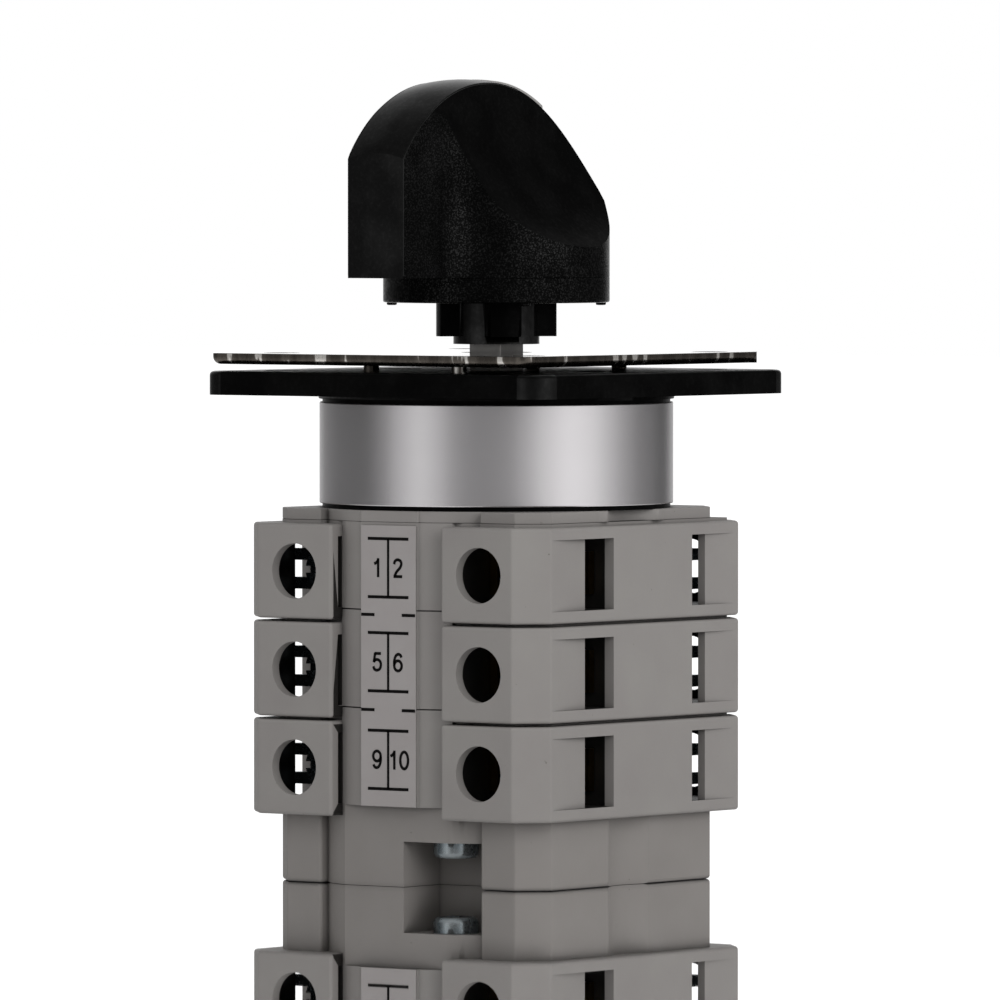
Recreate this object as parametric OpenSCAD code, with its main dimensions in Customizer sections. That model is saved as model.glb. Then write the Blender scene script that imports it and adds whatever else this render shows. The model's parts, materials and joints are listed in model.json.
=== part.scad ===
// Rotary cam switch, three contact decks, on its base plate.
// Millimetres. +Z runs up the shaft and the origin is the middle of the base's
// underside. The label face looks along -Y, and the knob points there at rest.
// Front and back, or left and right, are the same shape turned half round the
// shaft, so most features are drawn once and turned.

/* [Stack heights] */
// Height of the base plate up to the lowest deck
base_h = 9.4; // [8.8:0.1:12]
// Height of one contact deck, joint to joint
deck_pitch = 11.5; // [11.3:0.1:13]
// How far a terminal bar hangs below its deck's joint
bar_drop = 1.35; // [1.2:0.05:1.6]
// Open gap between the terminal bars of two decks
bar_gap = 0.35; // [0.2:0.05:0.6]
// Height of the detent housing
detent_h = 13.3; // [13:0.1:16]
// Height of the round boss under the flange, which stands in the panel's cut-out
flange_boss_h = 0.5; // [0.3:0.1:1]
// Thickness of the mounting flange
flange_t = 2.8; // [2.6:0.1:4]
// Gap between the flange and the legend plate
legend_gap = 0.8; // [0.4:0.1:1.5]
// Thickness of the legend plate
legend_t = 1.3; // [1:0.1:2]
// Bare shaft between the legend plate and the hub
shaft_show = 1.0; // [0.6:0.1:2]

/* [Housing plan] */
// Width of the base and deck bodies, across the terminals' outer faces
body_w = 39.6; // [39:0.1:42]
// Depth of the base and deck bodies, front to back
body_d = 37.4; // [36.5:0.1:40]
// Chamfer on the corners of the base and deck bodies
body_chamfer = 3.1; // [2:0.1:4]
// Radius of the round column that joins the decks
column_r = 20.9; // [20.7:0.1:22]
// Width of that column between the terminal bars
column_w = 16; // [15.8:0.1:16.6]
// Distance from the shaft to the seat of the terminal label
label_seat = 20.8; // [20.4:0.1:21.6]
// Width of the terminal label
label_w = 8; // [6:0.5:9]
// Thickness of the terminal label
label_t = 0.2; // [0.1:0.05:0.3]
// Radius of the detent housing
detent_r = 20.5; // [20.3:0.1:21.5]
// Thickness of the foil band round the detent housing
band_t = 0.35; // [0.15:0.05:0.5]
// Side of the square mounting flange
flange_w = 50; // [49:0.5:56]
// Corner radius of the mounting flange
flange_corner = 3.3; // [2:0.1:4]
// Side of the square legend plate
legend_w = 46.6; // [45:0.2:48]
// How far the legend plate hangs to the left, as a share of its rim past the panel bolts
legend_left = 0.19; // [0:0.01:0.22]
// How far the legend plate hangs to the front, as a share of the same rim
legend_front = 0.14; // [0:0.01:0.22]
// Spacing of the four panel screws, both ways
bolt_spacing = 36; // [35:0.5:38]
// Diameter of a panel screw's hole
bolt_hole_d = 4.3; // [3.4:0.1:4.8]

/* [Terminals] */
// Length of a terminal bar, front to back
bar_len = 43; // [42.6:0.1:45]
// How far a terminal bar stands out past the body's side
bar_out = 1.8; // [1.7:0.1:2.7]
// Chamfer on a terminal bar's corner beside its wide wire slot
bar_chamfer = 3.3; // [2:0.1:3.6]
// Chamfer on a terminal bar's corner beside its narrow wire slot
bar_far_chamfer = 2.7; // [2:0.1:3.6]
// Distance from the shaft's plane to a terminal screw
terminal_x = 13.5; // [13.3:0.1:14]
// Diameter of the screwdriver hole
access_d = 6.5; // [5.8:0.1:7]
// Height of a wire slot
slot_h = 8.3; // [7.6:0.1:8.5]
// Outer wall of a terminal chamber
wall_t = 1.3; // [1:0.1:1.6]
// Inner edge of the wide wire slot, from the switch's middle
wide_slot_y = 6; // [5.8:0.1:6.4]
// Width of the wide wire slot
wide_slot_w = 4.6; // [4.4:0.1:5]
// Inner edge of the narrow wire slot, from the switch's middle
narrow_slot_y = 9.5; // [9.2:0.1:9.8]
// Width of the narrow wire slot
narrow_slot_w = 3; // [2.8:0.1:3.6]
// Thickness of the brass contact strips
strip_t = 1; // [0.8:0.05:1.1]

/* [Mechanism] */
// Side of the square shaft
shaft_sq = 4.6; // [4:0.1:5]
// Mean radius of a cam
cam_r = 8; // [7.8:0.1:8.2]
// Travel of a contact each way at full turn
stroke = 1; // [0.8:0.05:1.1]
// Turn of the handle each way
turn_deg = 60; // [45:5:60]
// Radius of the round collars that turn in the housings
collar_r = 5; // [4.6:0.1:5.2]
// Length of the bearing pad that guides a plunger
guide_len = 2.5; // [2:0.1:2.6]
// Tip radius of the detent star
star_r = 9; // [8.6:0.1:9.4]

/* [Handle] */
// Radius of the knob's round base
knob_r = 13.35; // [12.5:0.05:15]
// Thickness of the knob's base under its seam
skirt_h = 3; // [2:0.1:4]
// Reach of the pointer nose from the shaft
nose_reach = 23.4; // [22:0.1:24]
// Half width of the pointer nose
nose_half = 4.05; // [3.6:0.05:4.6]
// Height of the knob's crest over the seam
crest_h = 23.2; // [22.8:0.1:25]
// Radius of the dome that rounds the knob's top
dome_r = 20.3; // [19.8:0.1:21.5]
// Height of the hub under the knob
hub_h = 4.9; // [4:0.1:6]
// Width of the insert strip on the knob's crest
cap_w = 5.5; // [4.5:0.1:6]

/* [Hidden] */
$fn = 64;

deck_count = 3;
cut = 0.5;           // how far a cutting shape runs past a face
running_gap = 0.05;  // radial clearance of a turning fit
slide_gap = 0.1;     // side clearance of a sliding fit
seat_gap = 0.2;      // clearance between loose inner pieces and their chamber

// Heights
stack_top = base_h + deck_count * deck_pitch;
bar_h = deck_pitch - bar_gap;
bar_span = body_w + 2 * bar_out;
joint_gap = 0.15;    // open line between two decks' necks
bar_top = bar_h - bar_drop;
terminal_z = bar_top - bar_h / 2;
flange_z = stack_top + detent_h;
flange_top = flange_z + flange_t;
legend_z = flange_top + legend_gap;
legend_top = legend_z + legend_t;
hub_z = legend_top + shaft_show;
knob_z = hub_z + hub_h;
seam_z = knob_z + skirt_h;
crest_z = seam_z + crest_h;

// Cam chamber and the chain of pieces along a contact's travel, from the shaft outwards
floor_t = 1.5;
cam_chamber_r = cam_r + stroke + 0.8;
nose_r = 1.6;
plunger_tip_y = cam_r + slide_gap;
plunger_body_y = plunger_tip_y + nose_r;
plunger_half_w = 2;
plunger_half_h = 1.9;
spring_well_half_w = plunger_half_w + 0.6;
guide_end_y = cam_chamber_r + guide_len;
strip_tip_y = guide_end_y + seat_gap;
rivet_h = 0.6;
rivet_r = 1.2;
rivet_x = 5.7;
fixed_face_y = strip_tip_y + strip_t + rivet_h;
bridge_face_y = fixed_face_y + stroke + slide_gap;
bridge_y = bridge_face_y + rivet_h;
bridge_t = 0.8;
bridge_half_l = rivet_x + rivet_r + 0.1;
bridge_half_h = 1.8;
bridge_back_y = bridge_y + bridge_t;
contact_chamber_y = bridge_back_y + stroke + 0.3;
contact_chamber_half_w = bridge_half_l + seat_gap;
spring_seat_y = column_r - 1.6;
spring_wire_r = 0.22;
contact_spring_r = 1.6;
stem_r = 1.1;
cam_z = floor_t + seat_gap;
cam_h = 5.5;

// Terminals
strip_half_h = 2.5;
riser_x = cam_chamber_r - 0.5;
chamber_x = riser_x - 0.1;
chamber_out_x = bar_span / 2 - wall_t;
chamber_out_y = bar_len / 2 - wall_t;
clamp_in_x = riser_x + strip_t + 0.3;
clamp_t = 1.2;
clamp_prong_z = 1.7;
clamp_prong_h = 1.4;
terminal_screw_r = 1.7;
terminal_head_r = 2.7;
terminal_head_h = 2;
terminal_slot_w = 0.8;
terminal_slot_deep = 0.9;
strip_past_screw = 4.5;
ramp_end_y = 18;
wide_ramp_deep = 0.8;
narrow_ramp_deep = 0.3;

// Fasteners that hold the stack
tie_x = 14.5;
tie_r = 1.5;
tie_head_r = 2.7;
tie_head_h = 2;
tie_head_low = 0.4;
tie_slot_w = 0.8;
tie_slot_deep = 0.9;
nut_flats_r = 3.1;
nut_h = 2.3;
base_screw_x = 6;
base_screw_y = 15.8;
base_screw_r = 1.4;
base_screw_head_r = 2.65;
base_screw_head_h = 1.9;
cross_l = 2.8;
cross_w = 0.6;
cross_deep = 0.8;
pocket_top = 5.3;
pocket_x0 = 1.1;
pocket_x1 = 11.5;
pocket_in_y = 12.4;
base_face_y = 19.5;
journal_r = 3.5;
journal_floor = 3;

// Detent
detent_wall = 2.5;
detent_floor = 1.6;
star_z = stack_top + detent_floor + 0.4;
star_h = 4.5;
roller_r = 1.5;
roller_y = star_r + 0.3 + roller_r;
detent_spring_r = 1.1;
stop_z = star_z + star_h + 0.4;
stop_t = 2;
stop_ring_r = detent_r - detent_wall - running_gap;
flange_boss_r = detent_r + band_t + slide_gap;
roller_h = stop_z - stack_top - detent_floor - slide_gap;
stop_window_r = 8.7;
stop_finger_r = 8.4;
stop_finger_half = 15;
stop_slack = 1;

// Knob
shaft_in_knob = 14;
shaft_top = knob_z + shaft_in_knob;
screw_seat_h = 18.5;
knob_screw_head_z = knob_z + screw_seat_h;
knob_screw_l = 11;
knob_screw_r = 1.45;
knob_screw_head_r = 2.6;
knob_screw_head_h = 2.1;
dome_reach = 6.8;
scoop_r = 21.3;
scoop_off = scoop_r + 3.95;
scoop_rise = 21.2;
scoop_z = seam_z + scoop_rise;
web_fillet = 5;
fillet_bite = 0.005;  // how far a fillet runs into each side, so that the outlines cross
cap_front = 4.4;
cap_back = 5.5;
cap_shift = 1.95;  // how far back the insert's own dome sits, so that its rear end stands proud
cap_deep = 1;
boss_r = 5.08;
boss_h = 0.9;
hub_arm_reach = 7.1;
hub_arm_w = 4.1;

case_grey = [0.62, 0.62, 0.60];
plastic_black = [0.10, 0.10, 0.105];
foil = [0.70, 0.72, 0.74];
zinc = [0.72, 0.73, 0.72];
brass = [0.80, 0.66, 0.36];
steel = [0.62, 0.63, 0.65];
cam_white = [0.88, 0.87, 0.82];

function deck_z(k) = base_h + (deck_count - k) * deck_pitch;

module half_turn_pair() {
    children();
    rotate(180) children();
}

// The two terminals with the wide wire slot: front right and back left.
module at_wide_terminals() {
    half_turn_pair() mirror([0, 1, 0]) children();
}

// The two terminals with the narrow wire slot: back right and front left.
module at_narrow_terminals() {
    half_turn_pair() children();
}

// A contact lies along +Y from the shaft. The front one is turned to -Y.
module at_back(k) {
    translate([0, 0, deck_z(k)]) children();
}

module at_front(k) {
    at_back(k) rotate(180) children();
}

module box_from(low, high) {
    translate(low) cube(high - low);
}

module chamfered_rect(w, d, c) {
    polygon([
        [-w / 2 + c, -d / 2], [w / 2 - c, -d / 2], [w / 2, -d / 2 + c], [w / 2, d / 2 - c],
        [w / 2 - c, d / 2], [-w / 2 + c, d / 2], [-w / 2, d / 2 - c], [-w / 2, -d / 2 + c]
    ]);
}

// Rectangle with one chamfer front right and back left, and another on the other two corners.
module bar_rect(w, d, c, far_c) {
    polygon([
        [-w / 2 + far_c, -d / 2], [w / 2 - c, -d / 2], [w / 2, -d / 2 + c], [w / 2, d / 2 - far_c],
        [w / 2 - far_c, d / 2], [-w / 2 + c, d / 2], [-w / 2, d / 2 - c], [-w / 2, -d / 2 + far_c]
    ]);
}

module rounded_square(w, r) {
    for (a = [0, 90])
        rotate(a) square([w, w - 2 * r], center = true);
    for (x = [-1, 1], y = [-1, 1])
        translate([x * (w / 2 - r), y * (w / 2 - r)]) circle(r);
}

// Round stick along +Y, starting at y.
module rod_y(r, y, l) {
    translate([0, y, 0]) rotate([-90, 0, 0]) cylinder(r = r, h = l);
}

// Helical spring along +Y: a round wire swept through even turns.
module spring_y(mean_r, wire_r, length, turns, x = 0) {
    sides = 6;
    steps = 14;
    rings = turns * steps;
    rise = length - 2 * wire_r;
    points = [
        for (i = [0:rings]) let (a = 360 * i / steps, y = wire_r + rise * i / rings)
            for (s = [0:sides - 1]) let (b = 360 * s / sides, r = mean_r + wire_r * cos(b))
                [x + r * cos(a), y + wire_r * sin(b), r * sin(a)]
    ];
    faces = concat(
        [[for (s = [0:sides - 1]) s]],
        [for (i = [0:rings - 1], s = [0:sides - 1]) let (t = (s + 1) % sides)
            [i * sides + s, (i + 1) * sides + s, (i + 1) * sides + t, i * sides + t]],
        [[for (s = [sides - 1:-1:0]) rings * sides + s]]
    );
    polyhedron(points, faces);
}

// ---- Outlines seen from above ----

// Shallow hollow in each side, its floor an arc.
module side_notches() {
    notch_in = 1;
    notch_half = 4;
    notch_r = (pow(notch_half, 2) + pow(notch_in, 2)) / (2 * notch_in);
    half_turn_pair() translate([body_w / 2 - notch_in + notch_r, -0.6]) circle(notch_r);
}

// The four corner blocks, with the round column showing between each front and back pair.
module body_outline() {
    block_w = 8.1;
    block_x = body_w / 2 - block_w;
    difference() {
        chamfered_rect(body_w, body_d, body_chamfer);
        difference() {
            square([2 * block_x, body_d + cut], center = true);
            circle(column_r);
        }
    }
}

// The round column, with a flat seat for the terminal label.
module column_outline() {
    intersection() {
        circle(column_r);
        square([3 * column_r, 2 * label_seat], center = true);
    }
    square([label_w + 0.4, 2 * label_seat], center = true);
}

// The strip of the column that stands between the terminal bars.
module neck_outline() {
    intersection() {
        column_outline();
        square([column_w, 3 * column_r], center = true);
    }
}

// Inside of the terminal bars' outer walls.
module bar_inside() {
    lost = wall_t * (2 - sqrt(2));
    bar_rect(bar_span - 2 * wall_t, bar_len - 2 * wall_t, bar_chamfer - lost, bar_far_chamfer - lost);
}

module bar_outline() {
    difference() {
        bar_rect(bar_span, bar_len, bar_chamfer, bar_far_chamfer);
        square([column_w, bar_len + cut], center = true);
    }
}

// Step on top of the bars that carries the next deck, with a rib at the back right.
module pad_outline() {
    rib_w = 2.5;
    rib_end_y = 19;
    body_outline();
    intersection() {
        column_outline();
        square([body_w, body_d], center = true);
    }
    translate([body_w / 2 - rib_w, 0]) square([rib_w, rib_end_y]);
}

// ---- Contact decks ----

// Chamber for one terminal in the quarter where X and Y are positive.
module terminal_chamber(slot_y, slot_w, ramp_deep) {
    low_z = terminal_z - slot_h / 2;
    high_z = terminal_z + slot_h / 2;
    strip_in = slot_y - strip_t - slide_gap;
    window_y = sqrt(pow(column_r, 2) - pow(column_w / 2, 2)) + slide_gap;
    // side window beside the column
    box_from([column_w / 2 - 0.02, window_y, low_z], [chamber_x + cut, chamber_out_y, high_z]);
    translate([0, 0, low_z]) linear_extrude(slot_h) intersection() {
        translate([chamber_x, strip_in]) square([bar_span, bar_len]);
        bar_inside();
    }
    // way in for the strip and clamp, covered by the deck above
    box_from([chamber_x, strip_in, terminal_z],
        [body_w / 2 - wall_t, body_d / 2 - 2 * wall_t, deck_pitch + cut]);
    // screwdriver hole
    translate([terminal_x, 0, terminal_z])
        rod_y(access_d / 2, chamber_out_y - cut, wall_t + 2 * cut);
    // wire slot, with the shallow ramp that leads into it
    box_from([chamber_out_x - cut, slot_y, low_z], [bar_span / 2 + cut, slot_y + slot_w, high_z]);
    translate([0, 0, low_z]) linear_extrude(slot_h)
        polygon([
            [bar_span / 2 - ramp_deep, slot_y + slot_w - 0.1], [bar_span / 2, ramp_end_y],
            [bar_span / 2 + cut, ramp_end_y], [bar_span / 2 + cut, slot_y + slot_w - 0.1]
        ]);
    // passage for the strip's tip into the contact chamber
    box_from([contact_chamber_half_w - cut, guide_end_y, terminal_z - strip_half_h - slide_gap],
        [chamber_x + cut, strip_tip_y + strip_t + slide_gap, deck_pitch + cut]);
}

module contact_chamber() {
    box_from([-plunger_half_w - slide_gap, 0, floor_t],
        [plunger_half_w + slide_gap, guide_end_y + cut, deck_pitch + cut]);
    box_from([-contact_chamber_half_w, guide_end_y, floor_t],
        [contact_chamber_half_w, contact_chamber_y, deck_pitch + cut]);
    box_from([-spring_well_half_w, contact_chamber_y - cut, floor_t],
        [spring_well_half_w, spring_seat_y, deck_pitch + cut]);
}

module tie_holes(z, h, r = tie_r + slide_gap) {
    half_turn_pair() translate([tie_x, 0, z]) cylinder(r = r, h = h);
}

module deck_housing(k) {
    pad_h = deck_pitch - bar_drop;
    neck_h = k == 1 ? pad_h : deck_pitch - joint_gap;
    color(case_grey) translate([0, 0, deck_z(k)]) difference() {
        union() {
            linear_extrude(neck_h) neck_outline();
            linear_extrude(pad_h) pad_outline();
            translate([0, 0, -bar_drop]) linear_extrude(bar_h) bar_outline();
        }
        translate([0, 0, -cut])
            cylinder(r = collar_r + running_gap, h = floor_t + 2 * cut);
        translate([0, 0, floor_t]) cylinder(r = cam_chamber_r, h = deck_pitch);
        half_turn_pair() contact_chamber();
        at_wide_terminals() terminal_chamber(wide_slot_y, wide_slot_w, wide_ramp_deep);
        at_narrow_terminals() terminal_chamber(narrow_slot_y, narrow_slot_w, narrow_ramp_deep);
        tie_holes(-bar_drop - cut, deck_pitch + 2 * bar_drop);
        if (k == deck_count) base_screw_bores(-cut, floor_t + 2 * cut, base_screw_r);
    }
}

// Plate that closes the top deck and stands in for the bars that would hang there.
module top_cover() {
    color(case_grey) difference() {
        translate([0, 0, stack_top - bar_drop]) linear_extrude(bar_drop) difference() {
            union() {
                body_outline();
                column_outline();
            }
            side_notches();
        }
        translate([0, 0, stack_top - bar_drop - cut])
            cylinder(r = collar_r + running_gap, h = bar_drop + 2 * cut);
        tie_holes(stack_top - bar_drop - cut, bar_drop + 2 * cut);
    }
}

// Brass strip of one terminal: plate under the clamp, riser, and tip with its rivet.
module contact_strip(slot_y) {
    plate_y = slot_y - strip_t;
    translate([0, 0, terminal_z]) difference() {
        union() {
            translate([0, 0, -strip_half_h]) linear_extrude(2 * strip_half_h) {
                translate([riser_x, plate_y]) square([terminal_x + strip_past_screw - riser_x, strip_t]);
                translate([riser_x, plate_y])
                    square([strip_t, strip_tip_y + strip_t - plate_y]);
                translate([rivet_x - rivet_r - 0.1, strip_tip_y])
                    square([riser_x + strip_t - rivet_x + rivet_r + 0.1, strip_t]);
            }
            translate([rivet_x, 0, 0]) rod_y(rivet_r, strip_tip_y + strip_t - 0.1, rivet_h + 0.1);
        }
        translate([terminal_x, 0, 0])
            rod_y(terminal_screw_r + running_gap, plate_y - cut, strip_t + 2 * cut);
    }
}

module fixed_contacts(k) {
    color(brass) translate([0, 0, deck_z(k)]) {
        at_wide_terminals() contact_strip(wide_slot_y);
        at_narrow_terminals() contact_strip(narrow_slot_y);
    }
}

// Saddle plate that the screw pulls onto the wire, with two prongs towards the wire slot.
module clamp_plate(wire_end) {
    body_half_h = 3.6;
    body_out_x = terminal_x + terminal_head_r + 0.2;
    prong_out_x = chamber_out_x - 0.9;
    translate([0, wire_end + slide_gap, terminal_z]) difference() {
        union() {
            box_from([clamp_in_x, 0, -body_half_h], [body_out_x, clamp_t, body_half_h]);
            for (side = [-1, 1])
                translate([body_out_x - cut, 0, side * clamp_prong_z - clamp_prong_h / 2])
                    cube([prong_out_x - body_out_x + cut, clamp_t, clamp_prong_h]);
        }
        translate([terminal_x, 0, 0]) rod_y(terminal_screw_r + slide_gap, -cut, clamp_t + 2 * cut);
    }
}

module clamp_plates(k) {
    color(zinc) translate([0, 0, deck_z(k)]) {
        at_wide_terminals() clamp_plate(wide_slot_y + wide_slot_w);
        at_narrow_terminals() clamp_plate(narrow_slot_y + narrow_slot_w);
    }
}

// Screw along Y, with its slotted head outwards.
module terminal_screw(slot_y, wire_room) {
    head_y = slot_y + wire_room + slide_gap + clamp_t;
    tip_y = slot_y - strip_t;
    translate([terminal_x, 0, terminal_z]) difference() {
        union() {
            rod_y(terminal_screw_r, tip_y, head_y - tip_y + 0.1);
            rod_y(terminal_head_r, head_y, terminal_head_h);
        }
        translate([-terminal_head_r - cut, head_y + terminal_head_h - terminal_slot_deep,
                -terminal_slot_w / 2])
            cube([2 * (terminal_head_r + cut), terminal_slot_deep + cut, terminal_slot_w]);
    }
}

module terminal_screws(k) {
    color(zinc) translate([0, 0, deck_z(k)]) {
        at_wide_terminals() terminal_screw(wide_slot_y, wide_slot_w);
        at_narrow_terminals() terminal_screw(narrow_slot_y, narrow_slot_w);
    }
}

// ---- Moving contacts ----

module plunger() {
    stem_l = bridge_t + 0.7;
    color(cam_white) translate([0, 0, terminal_z]) {
        translate([0, plunger_body_y, -plunger_half_h]) cylinder(r = nose_r, h = 2 * plunger_half_h);
        translate([-plunger_half_w, plunger_body_y, -plunger_half_h])
            cube([2 * plunger_half_w, bridge_y - plunger_body_y, 2 * plunger_half_h]);
        rod_y(stem_r, bridge_y - 0.1, stem_l + 0.1);
    }
}

module bridge() {
    color(brass) translate([0, 0, terminal_z]) difference() {
        union() {
            box_from([-bridge_half_l, bridge_y, -bridge_half_h],
                [bridge_half_l, bridge_back_y, bridge_half_h]);
            for (side = [-1, 1])
                translate([side * rivet_x, 0, 0])
                    rod_y(rivet_r, bridge_face_y, rivet_h + 0.1);
        }
        rod_y(stem_r + running_gap, bridge_y - cut, bridge_t + 2 * cut);
    }
}

module contact_spring() {
    color(steel) translate([0, bridge_back_y + running_gap, terminal_z])
        spring_y(contact_spring_r, spring_wire_r,
            spring_seat_y - bridge_back_y - 2 * running_gap, turns = 3);
}

// ---- Base plate and fasteners ----

module base_screw_bores(z, h, r) {
    half_turn_pair() translate([-base_screw_x, base_screw_y, z]) cylinder(r = r, h = h);
}

module flat_fronted_column(w) {
    intersection() {
        circle(column_r);
        square([w, 2 * base_face_y], center = true);
    }
}

module base_plate() {
    under_bar = base_h - bar_drop;
    color(case_grey) difference() {
        union() {
            linear_extrude(under_bar) difference() {
                union() {
                    body_outline();
                    flat_fronted_column(body_w);
                }
                side_notches();
            }
            linear_extrude(base_h) flat_fronted_column(column_w);
        }
        // screw pockets, open at the front and below
        half_turn_pair()
            box_from([-pocket_x1, pocket_in_y, -cut], [-pocket_x0, base_face_y + cut, pocket_top]);
        base_screw_bores(0, base_h + cut, base_screw_r + running_gap);
        translate([0, 0, journal_floor])
            cylinder(r = journal_r + running_gap, h = base_h);
        tie_holes(-cut, base_h + 2 * cut);
        tie_holes(-cut, cut + tie_head_low + tie_head_h, tie_head_r + seat_gap);
    }
}

module base_screws() {
    head_z = pocket_top - base_screw_head_h;
    color(zinc) half_turn_pair() translate([-base_screw_x, base_screw_y, 0]) difference() {
        union() {
            translate([0, 0, head_z]) cylinder(r = base_screw_head_r, h = base_screw_head_h);
            translate([0, 0, pocket_top - 0.1])
                cylinder(r = base_screw_r - running_gap, h = base_h + floor_t - pocket_top);
        }
        for (a = [0, 90])
            translate([0, 0, head_z]) rotate(a)
                cube([cross_l, cross_w, 2 * cross_deep], center = true);
    }
}

module tie_screws() {
    tie_end = flange_top - 0.3;
    color(zinc) half_turn_pair() translate([tie_x, 0, tie_head_low]) difference() {
        union() {
            cylinder(r = tie_head_r, h = tie_head_h);
            cylinder(r = tie_r, h = tie_end - tie_head_low);
        }
        cube([2 * (tie_head_r + cut), tie_slot_w, 2 * tie_slot_deep], center = true);
    }
}

module tie_nuts() {
    color(zinc) half_turn_pair() translate([tie_x, 0, flange_top - nut_h - 0.1]) difference() {
        cylinder(r = nut_flats_r, h = nut_h, $fn = 6);
        translate([0, 0, -cut]) cylinder(r = tie_r + running_gap, h = nut_h + 2 * cut, $fn = 64);
    }
}

// ---- Label, detent housing, flange and legend ----

module terminal_label() {
    color([0.74, 0.74, 0.72])
        box_from([-label_w / 2, -label_seat - label_t, base_h],
            [label_w / 2, -label_seat, deck_z(1) + bar_top]);
}

// Guide walls either side of a roller and its spring, in the +Y half. They carry the stop plate.
module roller_guides() {
    guide_t = 1.2;
    guide_in = star_r + 0.6;
    for (side = [-1, 1])
        translate([side * (roller_r + slide_gap + guide_t / 2) - guide_t / 2, guide_in,
                stack_top + detent_floor - 0.1])
            cube([guide_t, detent_r - detent_wall - guide_in + 0.2,
                stop_z - stack_top - detent_floor + 0.1]);
}

module detent_housing() {
    color(plastic_black) difference() {
        union() {
            difference() {
                translate([0, 0, stack_top]) cylinder(r = detent_r, h = detent_h - flange_boss_h);
                translate([0, 0, stack_top + detent_floor])
                    cylinder(r = detent_r - detent_wall, h = detent_h);
            }
            half_turn_pair() roller_guides();
        }
        translate([0, 0, stack_top - cut])
            cylinder(r = collar_r + running_gap, h = detent_floor + 2 * cut);
        tie_holes(stack_top - cut, detent_floor + 2 * cut);
    }
}

module rating_band() {
    band_z = stack_top + 0.5;
    band_h = detent_h - 1.4;
    color(foil) translate([0, 0, band_z]) difference() {
        cylinder(r = detent_r + band_t, h = band_h);
        translate([0, 0, -cut]) cylinder(r = detent_r, h = band_h + 2 * cut);
    }
}

module bolt_holes(z, h) {
    for (x = [-1, 1], y = [-1, 1])
        translate([x * bolt_spacing / 2, y * bolt_spacing / 2, z]) cylinder(d = bolt_hole_d, h = h);
}

module mounting_flange() {
    spigot_h = 1.5;
    low = flange_z - flange_boss_h - spigot_h;
    color(plastic_black) difference() {
        union() {
            translate([0, 0, flange_z]) linear_extrude(flange_t)
                rounded_square(flange_w, flange_corner);
            translate([0, 0, flange_z - flange_boss_h])
                cylinder(r = flange_boss_r, h = flange_boss_h + 0.1);
            translate([0, 0, low])
                cylinder(r = detent_r - detent_wall - slide_gap, h = spigot_h + 0.1);
        }
        translate([0, 0, low - cut])
            cylinder(r = collar_r + running_gap, h = flange_top - low + 2 * cut);
        bolt_holes(flange_z - cut, flange_t + 2 * cut);
        tie_holes(low - cut, flange_top - low + 2 * cut);
        half_turn_pair() translate([tie_x, 0, flange_top - nut_h - 0.1])
            cylinder(r = nut_flats_r + slide_gap, h = nut_h + cut, $fn = 6);
    }
}

module legend_plate() {
    corner = 1.5;
    opening_r = 4.2;
    peg_r = 0.9;
    peg_x = [-3.75, 9.1];
    peg_y = legend_w / 2 - 4;
    rim = (legend_w - bolt_spacing) / 2;
    color(foil) difference() {
        union() {
            translate([-legend_left * rim, -legend_front * rim, legend_z])
                linear_extrude(legend_t) rounded_square(legend_w, corner);
            half_turn_pair() for (x = peg_x)
                translate([x, -peg_y, flange_top]) cylinder(r = peg_r, h = legend_gap + 0.1);
        }
        translate([0, 0, legend_z - cut]) cylinder(r = opening_r, h = legend_t + 2 * cut);
        bolt_holes(legend_z - cut, legend_t + 2 * cut);
    }
}

// Ring whose window lets the stop finger swing the handle's turn each way.
module stop_plate() {
    open_half = turn_deg + stop_finger_half + stop_slack;
    far = 2 * stop_window_r;
    color(steel) translate([0, 0, stop_z]) linear_extrude(stop_t) difference() {
        circle(stop_ring_r);
        circle(collar_r + 0.3);
        intersection() {
            circle(stop_window_r);
            polygon(concat([[0, 0]],
                [for (i = [-4:4]) let (a = i * open_half / 4) far * [sin(a), cos(a)]]));
        }
        half_turn_pair() translate([tie_x, 0]) circle(tie_r + seat_gap);
    }
}

// ---- Rotor ----

module shaft() {
    color(zinc) difference() {
        union() {
            translate([0, 0, journal_floor]) cylinder(r = journal_r, h = base_h - journal_floor);
            translate([0, 0, (base_h + shaft_top) / 2 - 0.05])
                cube([shaft_sq, shaft_sq, shaft_top - base_h + 0.1], center = true);
        }
        translate([0, 0, knob_screw_head_z - knob_screw_l - cut])
            cylinder(r = knob_screw_r + running_gap, h = knob_screw_l + 2 * cut);
    }
}

module shaft_bore(z, h) {
    side = shaft_sq + 2 * running_gap;
    translate([-side / 2, -side / 2, z]) cube([side, side, h]);
}

// Radius of a cam's edge: constant on the two flats and an even spiral between them,
// so a contact moves in step with the handle.
function cam_radius(a) =
    let (b = a > 180 ? 360 - a : a, ramp = 90 - turn_deg)
    cam_r + stroke * (b <= ramp ? 1 : b >= 180 - ramp ? -1 : (90 - b) / turn_deg);

module cam(k) {
    color(cam_white) translate([0, 0, deck_z(k)]) difference() {
        union() {
            cylinder(r = collar_r, h = deck_pitch);
            translate([0, 0, cam_z]) linear_extrude(cam_h)
                polygon([for (a = [0:5:355]) cam_radius(a) * [cos(a), sin(a)]]);
        }
        shaft_bore(-cut, deck_pitch + 2 * cut);
    }
}

module detent_star() {
    points_n = 6;
    notch_r = 2;
    color(cam_white) difference() {
        union() {
            translate([0, 0, star_z]) cylinder(r = star_r, h = star_h);
            translate([0, 0, stack_top]) cylinder(r = collar_r, h = star_z + star_h - stack_top);
        }
        for (i = [0:points_n - 1])
            rotate(i * 360 / points_n + 90) translate([star_r + 0.6, 0, star_z - cut])
                cylinder(r = notch_r, h = star_h + 2 * cut);
        shaft_bore(stack_top - cut, star_h + 4);
    }
}

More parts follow.
